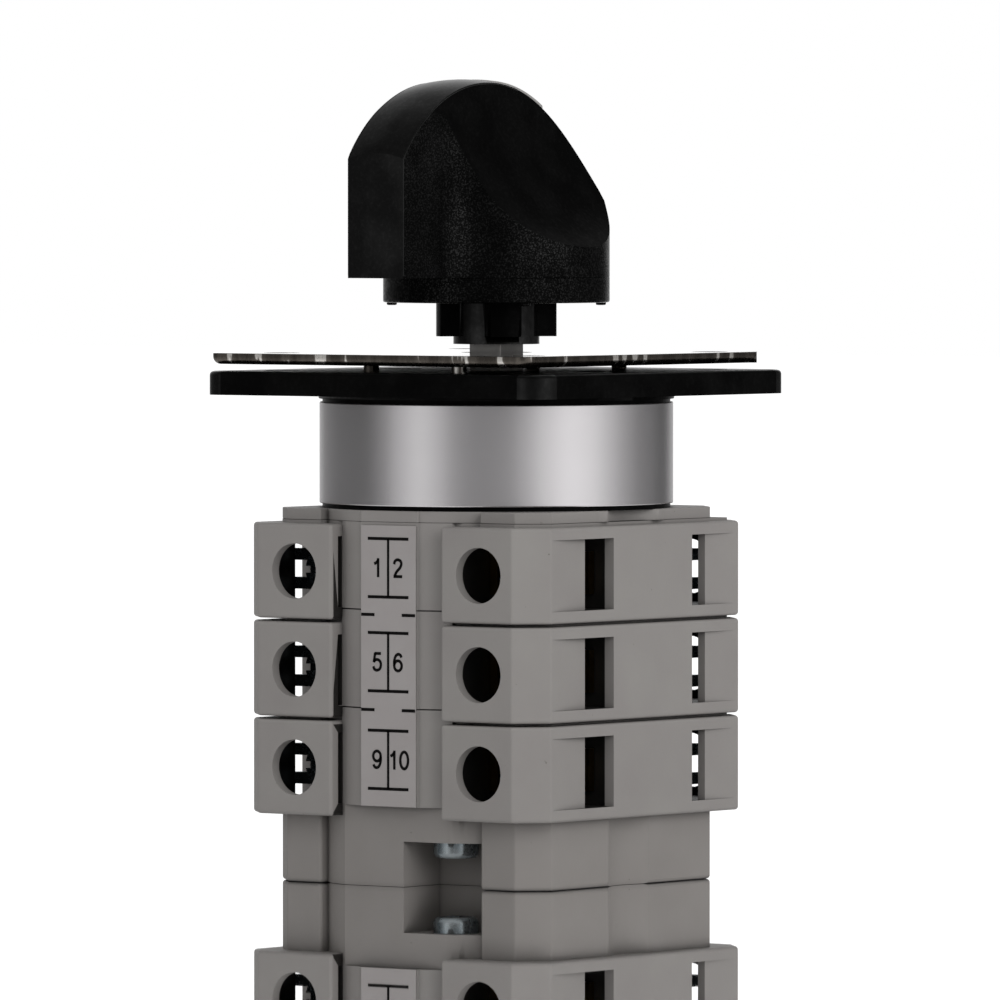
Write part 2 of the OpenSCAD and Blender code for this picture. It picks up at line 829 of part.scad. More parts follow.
module stop_arm() {
    low = star_z + star_h;
    color(cam_white) difference() {
        union() {
            translate([0, 0, low]) cylinder(r = collar_r, h = flange_top - low);
            translate([0, 0, stop_z + slide_gap]) linear_extrude(stop_t - 2 * slide_gap)
                intersection() {
                    circle(stop_finger_r);
                    polygon(concat([[0, 0]], [for (a = [-stop_finger_half, stop_finger_half])
                        2 * stop_finger_r * [sin(a), cos(a)]]));
                }
        }
        shaft_bore(low - cut, flange_top - low + 2 * cut);
    }
}

module detent_rollers() {
    color(steel) half_turn_pair()
        translate([0, roller_y, stack_top + detent_floor]) cylinder(r = roller_r, h = roller_h);
}

module detent_springs() {
    start = roller_y + roller_r + running_gap;
    color(steel) half_turn_pair()
        translate([0, start, stack_top + detent_floor + star_h / 2])
            spring_y(detent_spring_r, spring_wire_r,
                detent_r - detent_wall - running_gap - start, turns = 6);
}

// ---- Handle ----

// The ball whose surface is the knob's top, grown or shrunk.
module dome(grow) {
    translate([0, -dome_reach, crest_z - dome_r]) sphere(r = dome_r + grow, $fn = 128);
}

// Round body and pointer nose from above, with a fillet in each corner between them.
module knob_plan() {
    corner_x = nose_half + web_fillet - fillet_bite;
    corner_y = sqrt(pow(knob_r + web_fillet - fillet_bite, 2) - pow(corner_x, 2));
    circle(knob_r, $fn = 128);
    translate([-nose_half, -nose_reach]) square([2 * nose_half, nose_reach]);
    difference() {
        polygon([[0, 0], [corner_x, -corner_y], [-corner_x, -corner_y]]);
        for (side = [-1, 1])
            translate([side * corner_x, -corner_y]) circle(web_fillet);
    }
}

module knob() {
    color(plastic_black) difference() {
        union() {
            translate([0, 0, knob_z]) cylinder(r = knob_r, h = skirt_h, $fn = 128);
            intersection() {
                translate([0, 0, seam_z]) linear_extrude(crest_h + 1) knob_plan();
                dome(0);
            }
        }
        for (side = [-1, 1])
            translate([side * scoop_off, 0, scoop_z])
                rod_y(scoop_r, -nose_reach - cut, nose_reach + knob_r + 2 * cut);
        shaft_bore(knob_z - cut, shaft_top - knob_z + cut + 0.1);
        cylinder(r = knob_screw_r + slide_gap, h = crest_z);
        translate([0, 0, knob_screw_head_z]) cylinder(r = knob_screw_head_r + slide_gap, h = crest_h);
        insert_space(cap_w / 2 + running_gap, cap_front + running_gap, cap_back + running_gap);
    }
}

// Everything above the seat of the insert, inside its outline.
module insert_space(half_w, front, back) {
    difference() {
        translate([-half_w, -front, shaft_top]) cube([2 * half_w, front + back, crest_h]);
        dome(-cap_deep);
    }
}

module knob_insert() {
    color([0.72, 0.72, 0.70]) intersection() {
        insert_space(cap_w / 2, cap_front, cap_back);
        translate([0, cap_shift, 0]) dome(0);
    }
}

module knob_screw() {
    color(zinc) translate([0, 0, knob_screw_head_z]) difference() {
        union() {
            translate([0, 0, -knob_screw_l]) cylinder(r = knob_screw_r, h = knob_screw_l + 0.1);
            cylinder(r = knob_screw_head_r, h = knob_screw_head_h);
        }
        translate([0, 0, knob_screw_head_h])
            cube([2 * (knob_screw_head_r + cut), tie_slot_w, 2 * tie_slot_deep], center = true);
    }
}

module handle_hub() {
    color(plastic_black) difference() {
        union() {
            translate([0, 0, hub_z]) cylinder(r = boss_r, h = hub_h);
            intersection() {
                translate([0, 0, hub_z + boss_h]) cylinder(r = hub_arm_reach, h = hub_h - boss_h);
                for (a = [45, 135])
                    rotate(a) translate([-hub_arm_reach, -hub_arm_w / 2, hub_z])
                        cube([2 * hub_arm_reach, hub_arm_w, hub_h]);
            }
        }
        shaft_bore(hub_z - cut, hub_h + 2 * cut);
    }
}

base_plate();
base_screws();
deck_housing(1);  // deck_1_housing
deck_housing(2);  // deck_2_housing
deck_housing(3);  // deck_3_housing
top_cover();
terminal_label();
detent_housing();
rating_band();
mounting_flange();
legend_plate();
tie_screws();
tie_nuts();
stop_plate();
for (k = [1:deck_count]) {
    fixed_contacts(k);
    terminal_screws(k);
    clamp_plates(k);
    at_front(k) plunger();
    at_back(k) plunger();
    at_front(k) bridge();
    at_back(k) bridge();
    at_front(k) contact_spring();
    at_back(k) contact_spring();
}
shaft();
cam(1);  // cam_1
cam(2);  // cam_2
cam(3);  // cam_3
detent_star();
stop_arm();
detent_rollers();
detent_springs();
handle_hub();
knob();
knob_insert();
knob_screw();
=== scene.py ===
# %% [markdown]
# # Rotary cam switch on its base plate
# A stack of three grey contact decks stands on a base plate. A black detent
# housing with a metal foil band sits on top, then a black flange, a metal
# legend plate and a black pointer knob. The solids come from the packed
# model. This script rounds their edges, makes the shapes that need a finer
# surface, and gives every piece its finish.

# %% Load the solids
import bpy
import bmesh
import json
import math
import numpy as np
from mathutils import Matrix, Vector
from mathutils.bvhtree import BVHTree

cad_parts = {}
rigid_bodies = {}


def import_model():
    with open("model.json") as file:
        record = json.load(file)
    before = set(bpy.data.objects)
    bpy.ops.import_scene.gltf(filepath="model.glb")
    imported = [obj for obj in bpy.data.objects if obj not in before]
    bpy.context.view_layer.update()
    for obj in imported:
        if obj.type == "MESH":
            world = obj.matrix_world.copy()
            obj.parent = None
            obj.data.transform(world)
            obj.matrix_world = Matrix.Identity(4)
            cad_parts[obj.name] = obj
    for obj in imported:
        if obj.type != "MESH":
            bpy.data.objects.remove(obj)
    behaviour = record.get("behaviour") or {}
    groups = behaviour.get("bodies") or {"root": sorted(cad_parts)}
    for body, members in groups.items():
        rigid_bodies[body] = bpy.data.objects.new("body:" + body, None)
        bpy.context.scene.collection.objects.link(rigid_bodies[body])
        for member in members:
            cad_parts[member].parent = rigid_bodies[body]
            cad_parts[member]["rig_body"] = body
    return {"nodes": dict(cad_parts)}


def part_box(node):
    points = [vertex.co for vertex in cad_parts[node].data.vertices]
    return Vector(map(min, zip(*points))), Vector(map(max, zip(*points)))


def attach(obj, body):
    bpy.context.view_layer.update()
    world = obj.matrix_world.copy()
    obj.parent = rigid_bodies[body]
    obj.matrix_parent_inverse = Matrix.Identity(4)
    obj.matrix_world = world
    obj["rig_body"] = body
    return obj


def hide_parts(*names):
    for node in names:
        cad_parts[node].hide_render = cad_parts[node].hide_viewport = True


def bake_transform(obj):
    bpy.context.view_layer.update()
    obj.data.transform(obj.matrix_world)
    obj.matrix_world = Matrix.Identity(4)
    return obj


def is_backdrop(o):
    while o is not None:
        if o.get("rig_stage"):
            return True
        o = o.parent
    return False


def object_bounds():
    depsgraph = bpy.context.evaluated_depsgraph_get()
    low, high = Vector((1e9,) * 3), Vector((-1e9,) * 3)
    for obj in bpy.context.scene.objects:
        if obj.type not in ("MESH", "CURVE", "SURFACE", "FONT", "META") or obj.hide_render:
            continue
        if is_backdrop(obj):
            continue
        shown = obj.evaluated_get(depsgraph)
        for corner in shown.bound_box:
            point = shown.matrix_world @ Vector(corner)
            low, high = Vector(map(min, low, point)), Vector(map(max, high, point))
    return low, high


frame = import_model()
nodes = frame["nodes"]
low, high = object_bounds()
print("solids:", len(nodes), "box in mm:", [round(c * 1000, 2) for c in (high - low)])

# %% [markdown]
# ## Units and heights
# Everything is in metres, in the same frame as the solids: +Z up the shaft,
# and the label side looks along -Y. The heights that the new pieces need are
# read off the solids' boxes, so a changed solid carries them along.

# %% Named heights
MM = 0.001


def span(name, axis=2):
    """Lowest and highest value of a solid along one axis."""
    a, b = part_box(name)
    return a[axis], b[axis]


base_top = span("base_plate")[1]
knob_low = span("knob")[0]
skirt_h = 3 * MM
seam = knob_low + skirt_h
legend_high = span("legend_plate")[1]
flange_high = span("mounting_flange")[1]
band_low, band_high = span("rating_band")
label_face = span("terminal_label", 1)[0]
print("knob seam at", round(seam / MM, 2), "mm, flange top at", round(flange_high / MM, 2), "mm")

# %% [markdown]
# ## Helpers for surfaces
# A new shape is a grid of points worked out as whole arrays. The faces join
# each point to its neighbours, round the seam where the grid is closed.
# Doubled points at poles are merged, and the faces are turned outwards.

# %% Grid to mesh
WELD = 1e-6  # metres; points closer than this are one point


def grid_faces(rows, cols, close_rows=False, close_cols=False):
    """Quads (i, j), (i, j+1), (i+1, j+1), (i+1, j) between neighbours, wrapping where closed."""
    i = np.arange(rows if close_rows else rows - 1)
    j = np.arange(cols if close_cols else cols - 1)
    i, j = np.meshgrid(i, j, indexing="ij")
    i2, j2 = (i + 1) % rows, (j + 1) % cols
    quads = np.stack([i * cols + j, i * cols + j2, i2 * cols + j2, i2 * cols + j], -1)
    return quads.reshape(-1, 4)


def smooth(mesh, sharp):
    """Smooth shading, broken at every edge that folds by more than sharp degrees."""
    mesh.polygons.foreach_set("use_smooth", np.ones(len(mesh.polygons), bool))
    mesh.set_sharp_from_angle(angle=math.radians(sharp))


def place(name, mesh, material, body):
    """Object from a mesh, with its finish, riding on a body of the model."""
    mesh.materials.append(material)
    piece = bpy.data.objects.new(name, mesh)
    bpy.context.scene.collection.objects.link(piece)
    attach(piece, body)
    return piece


def finish_mesh(name, mesh, body, material, sharp=35):
    """Object from a mesh: doubles merged, faces outwards, smooth but for edges over an angle."""
    bm = bmesh.new()
    bm.from_mesh(mesh)
    bmesh.ops.remove_doubles(bm, verts=bm.verts, dist=WELD)
    bmesh.ops.dissolve_degenerate(bm, dist=WELD / 10, edges=bm.edges)
    bmesh.ops.recalc_face_normals(bm, faces=bm.faces)
    bm.to_mesh(mesh)
    bm.free()
    smooth(mesh, sharp)
    return place(name, mesh, material, body)


def grid_piece(name, points, body, material, closed=(False, True), caps=False, sharp=35):
    """Piece from a (rows, cols, 3) array of points. caps closes the first and last row."""
    rows, cols = points.shape[:2]
    faces = grid_faces(rows, cols, *closed).tolist()
    if caps:
        faces += [list(range(cols)), list(range((rows - 1) * cols, rows * cols))]
    mesh = bpy.data.meshes.new(name)
    mesh.from_pydata(points.reshape(-1, 3).tolist(), [], faces)
    return finish_mesh(name, mesh, body, material, sharp)


def lathe(profile, steps=128):
    """Profile (radius, height) carried once round Z: (r cos a, r sin a, z)."""
    profile = np.asarray(profile, float)
    a = np.linspace(0, 2 * np.pi, steps, endpoint=False)
    r, z = profile[:, 0][:, None], profile[:, 1][:, None]
    return np.stack([r * np.cos(a), r * np.sin(a), z + 0 * a], -1)


# %% [markdown]
# ## Helpers for rounded solids
# A moulded part has no sharp edge: the steel mould is cut with small radii.
# A copy of the solid is welded, its flat faces are joined, and the edges that
# can be seen from outside are bevelled. Weighted normals keep the flats flat.
# Bevelling every edge would be simpler, but it tears where small holes meet.

# %% Rounded copy of a solid
FOLD = 25  # degrees; an edge that folds less belongs to a curved wall
RAY_START = 0.02 * MM  # how far off its edge a ray starts


def edge_facts(bm):
    """Of each edge with two faces: middle, length, both normals, fold angle, convex or not."""
    edges = [e for e in bm.edges if len(e.link_faces) == 2]
    mid = np.array([(e.verts[0].co + e.verts[1].co) / 2 for e in edges])
    length = np.array([e.calc_length() for e in edges])
    n1 = np.array([e.link_faces[0].normal for e in edges])
    n2 = np.array([e.link_faces[1].normal for e in edges])
    fold = np.degrees(np.arccos(np.clip((n1 * n2).sum(1), -1, 1)))
    convex = np.array([e.is_convex for e in edges])
    return edges, dict(mid=mid, length=length, n1=n1, n2=n2, fold=fold, convex=convex)


def seen_from_outside(bm, mid, normal, pick):
    """True where a ray from the edge, along its mean normal, leaves without meeting the solid."""
    tree = BVHTree.FromBMesh(bm)
    out = pick.copy()
    for k in np.nonzero(pick)[0]:
        n = normal[k] / np.linalg.norm(normal[k])
        out[k] = tree.ray_cast(mid[k] + n * RAY_START, n)[0] is None
    return out


def welded_copy(name, suffix):
    """Copy of a solid's mesh, and its bmesh with the loose triangles welded."""
    mesh = nodes[name].data.copy()
    mesh.name = name + suffix
    mesh.materials.clear()
    bm = bmesh.new()
    bm.from_mesh(mesh)
    bmesh.ops.remove_doubles(bm, verts=bm.verts, dist=WELD)
    return mesh, bm


def rounded(name, material, rounds, prisms=(), sharp=40):
    """Copy of a solid with its edges rounded.

    rounds lists (chooser, width, segments), and prisms (normals, offsets, radius).
    """
    mesh, bm = welded_copy(name, "_moulded")
    bmesh.ops.dissolve_limit(bm, angle_limit=math.radians(1), verts=bm.verts, edges=bm.edges)
    for normals, offsets, radius in prisms:
        round_prism(bm, normals, offsets, radius)
    for choose, width, segments in rounds:
        bm.normal_update()
        edges, f = edge_facts(bm)
        pick = f["convex"] & (f["fold"] > FOLD) & choose(f)
        pick = seen_from_outside(bm, f["mid"], f["n1"] + f["n2"], pick)
        bmesh.ops.bevel(
            bm, geom=[e for e, p in zip(edges, pick) if p], offset=width, offset_type="OFFSET",
            segments=segments, profile=0.5, affect="EDGES", clamp_overlap=False,
        )
    bm.to_mesh(mesh)
    bm.free()
    smooth(mesh, sharp)
    piece = place(name + "_moulded", mesh, material, nodes[name]["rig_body"])
    piece.modifiers.new("flats", "WEIGHTED_NORMAL").keep_sharp = True
    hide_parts(name)
    print(name, "rounded:", len(mesh.polygons), "faces")
    return piece


# %% [markdown]
# ## Rounding a prism by moving its skin
# The terminal bars are plain prisms pierced by many openings, which upset a
# bevel. So the skin near each outer edge is cut into narrow strips, and each
# point p of it is moved out from the nearest point q of a prism that is
# smaller all round by the radius: q + radius * (p - q) / |p - q|.

# %% Round prism
STRIPS = (0.0, 0.1, 0.27, 0.42, 0.73, 1.0)  # depths of the cuts, as shares of the radius
ON_WALL = 2e-6  # metres; a point closer than this lies on the wall


def prism_walls(x0, x1, half_y, near_chamfer, far_chamfer, z0, z1, side):
    """Outward normals and offsets of a bar's eight walls. side -1 turns it half round."""
    r = math.sqrt(0.5)
    near, far = [(x1 + half_y - c) * r for c in (near_chamfer, far_chamfer)]
    walls = [(-1, 0, 0, -x0), (1, 0, 0, x1), (0, 1, 0, half_y), (0, -1, 0, half_y),
             (r, r, 0, far), (r, -r, 0, near), (0, 0, -1, -z0), (0, 0, 1, z1)]
    walls = np.array(walls)
    walls[:, :2] *= side
    return walls[:, :3], walls[:, 3]


def nearest_inside(p, normals, offsets, rounds=80):
    """Nearest point of a convex solid, by Dykstra's turns of projection on each half-space."""
    x, kept = p.copy(), np.zeros((len(offsets), *p.shape))
    for _ in range(rounds):
        for k, (n, d) in enumerate(zip(normals, offsets)):
            y = x + kept[k]
            x = y - np.clip(y @ n - d, 0, None)[:, None] * n
            kept[k] = y - x
    return x


def round_prism(bm, normals, offsets, radius):
    """Cuts the skin into strips beside the prism's edges, and moves it on to the rounded prism."""
    for n, d in zip(normals, offsets):
        for share in STRIPS:
            bm.verts.index_update()
            at = np.array([v.co for v in bm.verts])
            depth = at @ normals.T - offsets
            inside = depth.max(1) < ON_WALL
            on_wall = inside[:, None] & (np.abs(depth) < ON_WALL)
            picked = []
            for face in bm.faces:
                ids = [v.index for v in face.verts]
                if share == 0.0 and inside[ids].any():
                    picked.append(face)
                elif inside[ids].all() and on_wall[ids].all(0).any():
                    picked.append(face)
            parts = set(picked)
            parts |= {e for f in picked for e in f.edges} | {v for f in picked for v in f.verts}
            level = d - share * radius
            bmesh.ops.bisect_plane(
                bm, geom=list(parts), plane_co=(n * level).tolist(), plane_no=n.tolist(), dist=WELD
            )
    at = np.array([v.co for v in bm.verts])
    depth = at @ normals.T - offsets
    skin = np.nonzero(np.abs(depth.max(1)) < ON_WALL)[0]
    q = nearest_inside(at[skin], normals, offsets - radius)
    away = at[skin] - q
    moved = q + radius * away / np.linalg.norm(away, axis=1)[:, None]
    bm.verts.ensure_lookup_table()
    for k, co in zip(skin, moved):
        bm.verts[k].co = co


# %% [markdown]
# ## Two finishes on one piece
# Some mouldings are worn in places, and other faces carry painted shade and
# painted glints. A piece can hold several materials, and each face keeps the
# number of its own. Choosing faces by where they lie is simpler than cutting
# the piece in two, and leaves no seam.

# %% Faces and their finishes
def per_face(mesh, what):
    """A row of three numbers for each face: its "center" or its "normal"."""
    values = np.zeros(len(mesh.polygons) * 3)
    mesh.polygons.foreach_get(what, values)
    return values.reshape(-1, 3)


def repaint(piece, *coats):
    """Further finishes on a piece. coats are (material, which faces take it), one by one."""
    index = np.zeros(len(piece.data.polygons), np.int32)
    for k, (material, chosen) in enumerate(coats, 1):
        piece.data.materials.append(material)
        index[chosen] = k
        print(piece.name, "has", int(chosen.sum()), "faces of", material.name)
    piece.data.polygons.foreach_set("material_index", index)


# %% [markdown]
# ## Helpers for materials
# Colours are written as sRGB hex values and turned to linear light once.
# Patterns read Object coordinates in metres, so a noise scale is one over a
# real size.

# %% Colour and node helpers
def linear(code):
    """sRGB hex code to linear RGBA: c / 12.92 below 0.04045, else ((c + 0.055) / 1.055) ** 2.4."""
    c = np.array([int(code[k : k + 2], 16) for k in (1, 3, 5)]) / 255
    c = np.where(c <= 0.04045, c / 12.92, ((c + 0.055) / 1.055) ** 2.4)
    return (*c.tolist(), 1.0)


def wire(tree, node, inputs):
    """Gives each named input of a node its value, or a link from another node."""
    for key, value in inputs.items():
        if isinstance(value, bpy.types.NodeSocket):
            tree.links.new(value, node.inputs[key])
        else:
            node.inputs[key].default_value = value


def add(tree, kind, inputs=None, **settings):
    """Adds a node, with its settings, and values or links for its inputs."""
    node = tree.nodes.new(kind)
    for key, value in settings.items():
        setattr(node, key, value)
    wire(tree, node, inputs or {})
    return node


def blank(name):
    """New material: its node tree, its shader and its Object coordinates."""
    material = bpy.data.materials.new(name)
    material.use_nodes = True
    tree = material.node_tree
    shader = tree.nodes["Principled BSDF"]
    coords = add(tree, "ShaderNodeTexCoord").outputs["Object"]
    return material, tree, shader, coords


def ramp(tree, factor, stops):
    """Colour ramp from a factor, with (position, hex) stops."""
    node = add(tree, "ShaderNodeValToRGB", {"Fac": factor})
    element = node.color_ramp.elements
    while len(element) < len(stops):
        element.new(0.5)
    for e, (position, code) in zip(element, stops):
        e.position, e.color = position, linear(code)
    return node.outputs["Color"]


# %% [markdown]
# ## Grey moulded nylon
# The decks, the base and the cover are glass-filled nylon, injection moulded
# in a spark-eroded tool. It looks even and matt, with a very fine grain, a
# faint cloudiness where the melt flowed, and a few specks of dust. Each of
# these is a noise of its own size, so each can be set alone. Shade is also
# painted darker into every corner.

# %% Grey nylon
def moulded_nylon(name, light, dark, speck, corner_shade=0.4):
    """Matt nylon: cloudy colour between two tones, rare specks, fine grain in the bump."""
    material, tree, shader, coords = blank(name)
    # sizes in mm. The tool's grain is about 0.05 mm, drawn at 0.28 mm so that it shows
    cloud, dust, grain, waves = (
        add(tree, "ShaderNodeTexNoise",
            {"Vector": coords, "Scale": 1 / (size * MM), "Detail": detail})
        for size, detail in ((9, 4.0), (0.9, 2.0), (0.28, 3.0), (4, 1.0))
    )
    tone = ramp(tree, cloud.outputs["Fac"], [(0.3, dark), (0.7, light)])
    spots = ramp(tree, dust.outputs["Fac"], [(0.76, "#000000"), (0.8, "#FFFFFF")])
    colour = add(
        tree, "ShaderNodeMix", {0: spots, 6: tone, 7: linear(speck)}, data_type="RGBA"
    )
    swell = add(
        tree, "ShaderNodeBump",
        {"Strength": 0.35, "Distance": 0.08 * MM, "Height": waves.outputs["Fac"]},
    )
    bump = add(
        tree, "ShaderNodeBump",
        {"Strength": 0.3, "Distance": 0.02 * MM, "Height": grain.outputs["Fac"],
         "Normal": swell.outputs["Normal"]},
    )
    rough = add(
        tree, "ShaderNodeMapRange", {"Value": grain.outputs["Fac"], "To Min": 0.46, "To Max": 0.62}
    )
    # painted shade: the colour darkens in every corner, where near walls hide the sky
    near = add(tree, "ShaderNodeAmbientOcclusion", {"Distance": 0.7 * MM}, samples=8)
    unshaded_share = add(tree, "ShaderNodeMath", {0: near.outputs["AO"], 1: corner_shade}, operation="POWER")
    corner_shaded = add(
        tree, "ShaderNodeMix",
        {0: unshaded_share.outputs[0], 6: linear("#0E0C0B"), 7: colour.outputs[2]}, data_type="RGBA",
    )
    wire(tree, shader, {
        "Base Color": corner_shaded.outputs[2], "Roughness": rough.outputs["Result"],
        "Normal": bump.outputs["Normal"], "IOR": 1.53,
    })
    return material


# the decks and the cover: an even, matt mid grey
case_grey = moulded_nylon("grey_glass_filled_nylon", "#8B8885", "#868280", "#6B6663")
# painted shade: the base stands back under the bars, so it is coloured a little darker and browner
shaded_base_grey = moulded_nylon("grey_nylon_base_painted_shade", "#878380", "#827E7B", "#605B58", 0.3)
# painted shade: the chambers' walls are coloured nearly black, so the slots look deep
inner_shade_grey = moulded_nylon("nylon_inside_painted_shade", "#211F1D", "#191716", "#121110")
print("grey nylon: 3 finishes")

# %% [markdown]
# ## Black moulded nylon
# The knob, hub, flange and detent housing are black nylon. The knob's walls
# carry a coarse spark texture, and its finger hollows were polished smoother.
# Handling has rubbed other places shiny. All five finishes come from one
# function: the grain's size and depth, the gloss, and the sheen are given.

# %% Black nylon
def black_nylon(name, colour, grain_mm, depth_mm, low, high, pits, flat):
    """Black nylon: near-black tone, spark texture, uneven gloss, sheen of pits and flats."""
    material, tree, shader, coords = blank(name)
    cloud = add(
        tree, "ShaderNodeTexNoise", {"Vector": coords, "Scale": 1 / (5 * MM), "Detail": 3.0}
    )
    tone = ramp(tree, cloud.outputs["Fac"], [(0.3, colour), (0.75, "#080808")])
    spark = add(
        tree, "ShaderNodeTexNoise", {"Vector": coords, "Scale": 1 / (grain_mm * MM), "Detail": 3.0}
    )
    bump = add(
        tree, "ShaderNodeBump",
        {"Strength": 0.8, "Distance": depth_mm * MM, "Height": spark.outputs["Fac"]},
    )
    gloss = add(
        tree, "ShaderNodeMapRange", {"Value": cloud.outputs["Fac"], "To Min": low, "To Max": high}
    )
    # the pits swallow most of the sheen, and the flats between them keep it
    flats = add(
        tree, "ShaderNodeMapRange",
        {"Value": spark.outputs["Fac"], "From Min": 0.5, "From Max": 0.68,
         "To Min": pits, "To Max": flat},
    )
    # handling has worn some places shinier than others
    patch = add(
        tree, "ShaderNodeMapRange",
        {"Value": cloud.outputs["Fac"], "From Min": 0.42, "From Max": 0.62,
         "To Min": 0.6, "To Max": 1.15},
    )
    sheen = add(
        tree, "ShaderNodeMath", {0: flats.outputs["Result"], 1: patch.outputs["Result"]},
        operation="MULTIPLY",
    )
    # the mean is set too, for viewers that read no linked level
    shader.inputs["Specular IOR Level"].default_value = (pits + flat) / 2
    wire(tree, shader, {
        "Base Color": tone, "Roughness": gloss.outputs["Result"],
        "Specular IOR Level": sheen.outputs[0], "Normal": bump.outputs["Normal"], "IOR": 1.5,
    })
    return material


# coarse spark pits: dull, with a fine sparkle where light grazes the wall
knob_black = black_nylon(
    "black_nylon_spark_eroded", "#050505", 0.2, 0.03, 0.17, 0.24, 0.03, 0.42
)
# smooth but not glossy: the hollows stay dark and even
knob_smooth = black_nylon(
    "black_nylon_polished_hollow", "#050505", 0.5, 0.008, 0.42, 0.52, 0.03, 0.06
)
# a satin skin that shows little but its edges
flange_black = black_nylon(
    "black_nylon_satin", "#050505", 0.6, 0.003, 0.24, 0.34, 0.03, 0.05
)
# flattened pits: a soft grey sheen on the nose and crest
worn_black = black_nylon(
    "black_nylon_worn_by_fingers", "#060606", 0.45, 0.008, 0.26, 0.36, 0.2, 0.3
)
# rubbed corners: a small bright glint
rubbed_black = black_nylon(
    "black_nylon_rubbed", "#070707", 0.6, 0.002, 0.12, 0.16, 0.28, 0.4
)
print("black nylon: 5 finishes")

# %% [markdown]
# ## Metals
# Zinc-plated steel has a bluish passivated skin, the legend plate is polished
# aluminium, the band is satin aluminium foil, and the contacts are brass.
# What tells them apart is colour, roughness, and which way the grain runs, so
# one function makes them all, and a Mapping node stretches the grain.

# %% Metals
def worked_metal(name, tones, rough, grain, stretch=(1, 1, 1), depth=0.01, wear=3):
    """Metal: colour drifts between tones, and a stretched fine grain gives brushing or plating."""
    material, tree, shader, coords = blank(name)
    turned = add(tree, "ShaderNodeMapping", {"Vector": coords, "Scale": stretch})
    drift = add(
        tree, "ShaderNodeTexNoise",
        {"Vector": turned.outputs["Vector"], "Scale": 1 / (wear * MM), "Detail": 3.0},
    )
    tone = ramp(tree, drift.outputs["Fac"], tones)
    lines = add(
        tree, "ShaderNodeTexNoise",
        {"Vector": turned.outputs["Vector"], "Scale": 1 / (grain * MM), "Detail": 3.0},
    )
    bump = add(
        tree, "ShaderNodeBump",
        {"Strength": 0.5, "Distance": depth * MM, "Height": lines.outputs["Fac"]},
    )
    gloss = add(
        tree, "ShaderNodeMapRange",
        {"Value": lines.outputs["Fac"], "To Min": rough[0], "To Max": rough[1]},
    )
    wire(tree, shader, {
        "Base Color": tone, "Roughness": gloss.outputs["Result"],
        "Normal": bump.outputs["Normal"], "Metallic": 1.0,
    })
    return material


# screws and clamps: a cool grey that drifts towards blue
zinc = worked_metal(
    "blue_passivated_zinc_plate", [(0.35, "#A4ABAE"), (0.65, "#7A8890")], (0.16, 0.34), 0.4
)
# the plate's face: a clear, slightly warm mirror
legend_metal = worked_metal(
    "polished_aluminium_plate", [(0.3, "#C2C0BD"), (0.7, "#CCCAC7")], (0.05, 0.09), 0.5,
    depth=0.0005,
)
# its cut edge: a dark, warm tone, with bright flecks painted in as glints
legend_edge_glints = worked_metal(
    "aluminium_edge_painted_glints", [(0.42, "#4E4944"), (0.575, "#6A645E"), (0.6, "#F0ECE6")],
    (0.18, 0.4), 0.35, stretch=(1, 1, 0.15), depth=0.03, wear=2.2,
)
# brushed round the band, so reflections smear into upright stripes
foil = worked_metal(
    "satin_aluminium_foil", [(0.3, "#E0DDDF"), (0.7, "#E5E2E4")], (0.22, 0.28), 0.25,
    stretch=(0.15, 0.15, 1), depth=0.002, wear=14,
)
# contacts: brass, in a dull, dark brown tone
brass = worked_metal("stamped_brass_strip", [(0.3, "#7A6238"), (0.7, "#685230")], (0.22, 0.4), 0.3)
# springs and rollers: plain bright steel
steel = worked_metal("drawn_steel", [(0.3, "#9EA0A2"), (0.7, "#B4B6B8")], (0.22, 0.38), 0.2)
# the shaft: plated but matt, so its flats read as even grey
shaft_metal = worked_metal(
    "zinc_plated_square_bar", [(0.3, "#8E8C8A"), (0.7, "#A3A19F")], (0.3, 0.5), 0.35, depth=0.02
)
print("metals: 7 finishes")

# %% [markdown]
# ## Plain plastics inside, label film and ink
# Cams and plungers are natural acetal. The label is a printed vinyl film,
# and the insert in the knob's crest is a light grey strip. All are nearly
# even in colour, so two close tones and a faint grain are enough.

# %% Acetal, film, ink and insert
def plain_plastic(name, a, b, rough, drift_mm, depth_mm=0.005, sheen=0.5):
    """Plastic or film: two close tones drifting, a faint grain."""
    material, tree, shader, coords = blank(name)
    drift = add(
        tree, "ShaderNodeTexNoise", {"Vector": coords, "Scale": 1 / (drift_mm * MM), "Detail": 3.0}
    )
    grain = add(
        tree, "ShaderNodeTexNoise", {"Vector": coords, "Scale": 1 / (0.3 * MM), "Detail": 2.0}
    )
    bump = add(
        tree, "ShaderNodeBump",
        {"Strength": 0.3, "Distance": depth_mm * MM, "Height": grain.outputs["Fac"]},
    )
    gloss = add(
        tree, "ShaderNodeMapRange",
        {"Value": drift.outputs["Fac"], "To Min": rough - 0.06, "To Max": rough + 0.06},
    )
    tone = ramp(tree, drift.outputs["Fac"], [(0.3, a), (0.7, b)])
    wire(tree, shader, {
        "Base Color": tone, "Roughness": gloss.outputs["Result"],
        "Normal": bump.outputs["Normal"], "IOR": 1.48, "Specular IOR Level": sheen,
    })
    return material


# cams and plungers: a waxy, creamy white
acetal = plain_plastic("natural_acetal", "#E6E2D6", "#DDD8CA", 0.42, 4)
# the label: smoother and a little lighter than the decks behind it
label_film = plain_plastic("printed_vinyl_film", "#9C9897", "#979291", 0.5, 6)
# ink: deep black with hardly any sheen
ink = plain_plastic("black_printing_ink", "#050404", "#080606", 0.45, 1, sheen=0.12)
# the insert: a pale satin strip, with a grain coarse enough to catch the light
insert_grey = plain_plastic("light_grey_insert", "#93918F", "#9B9997", 0.45, 3, 0.02)
print("plain plastics: 4 finishes")

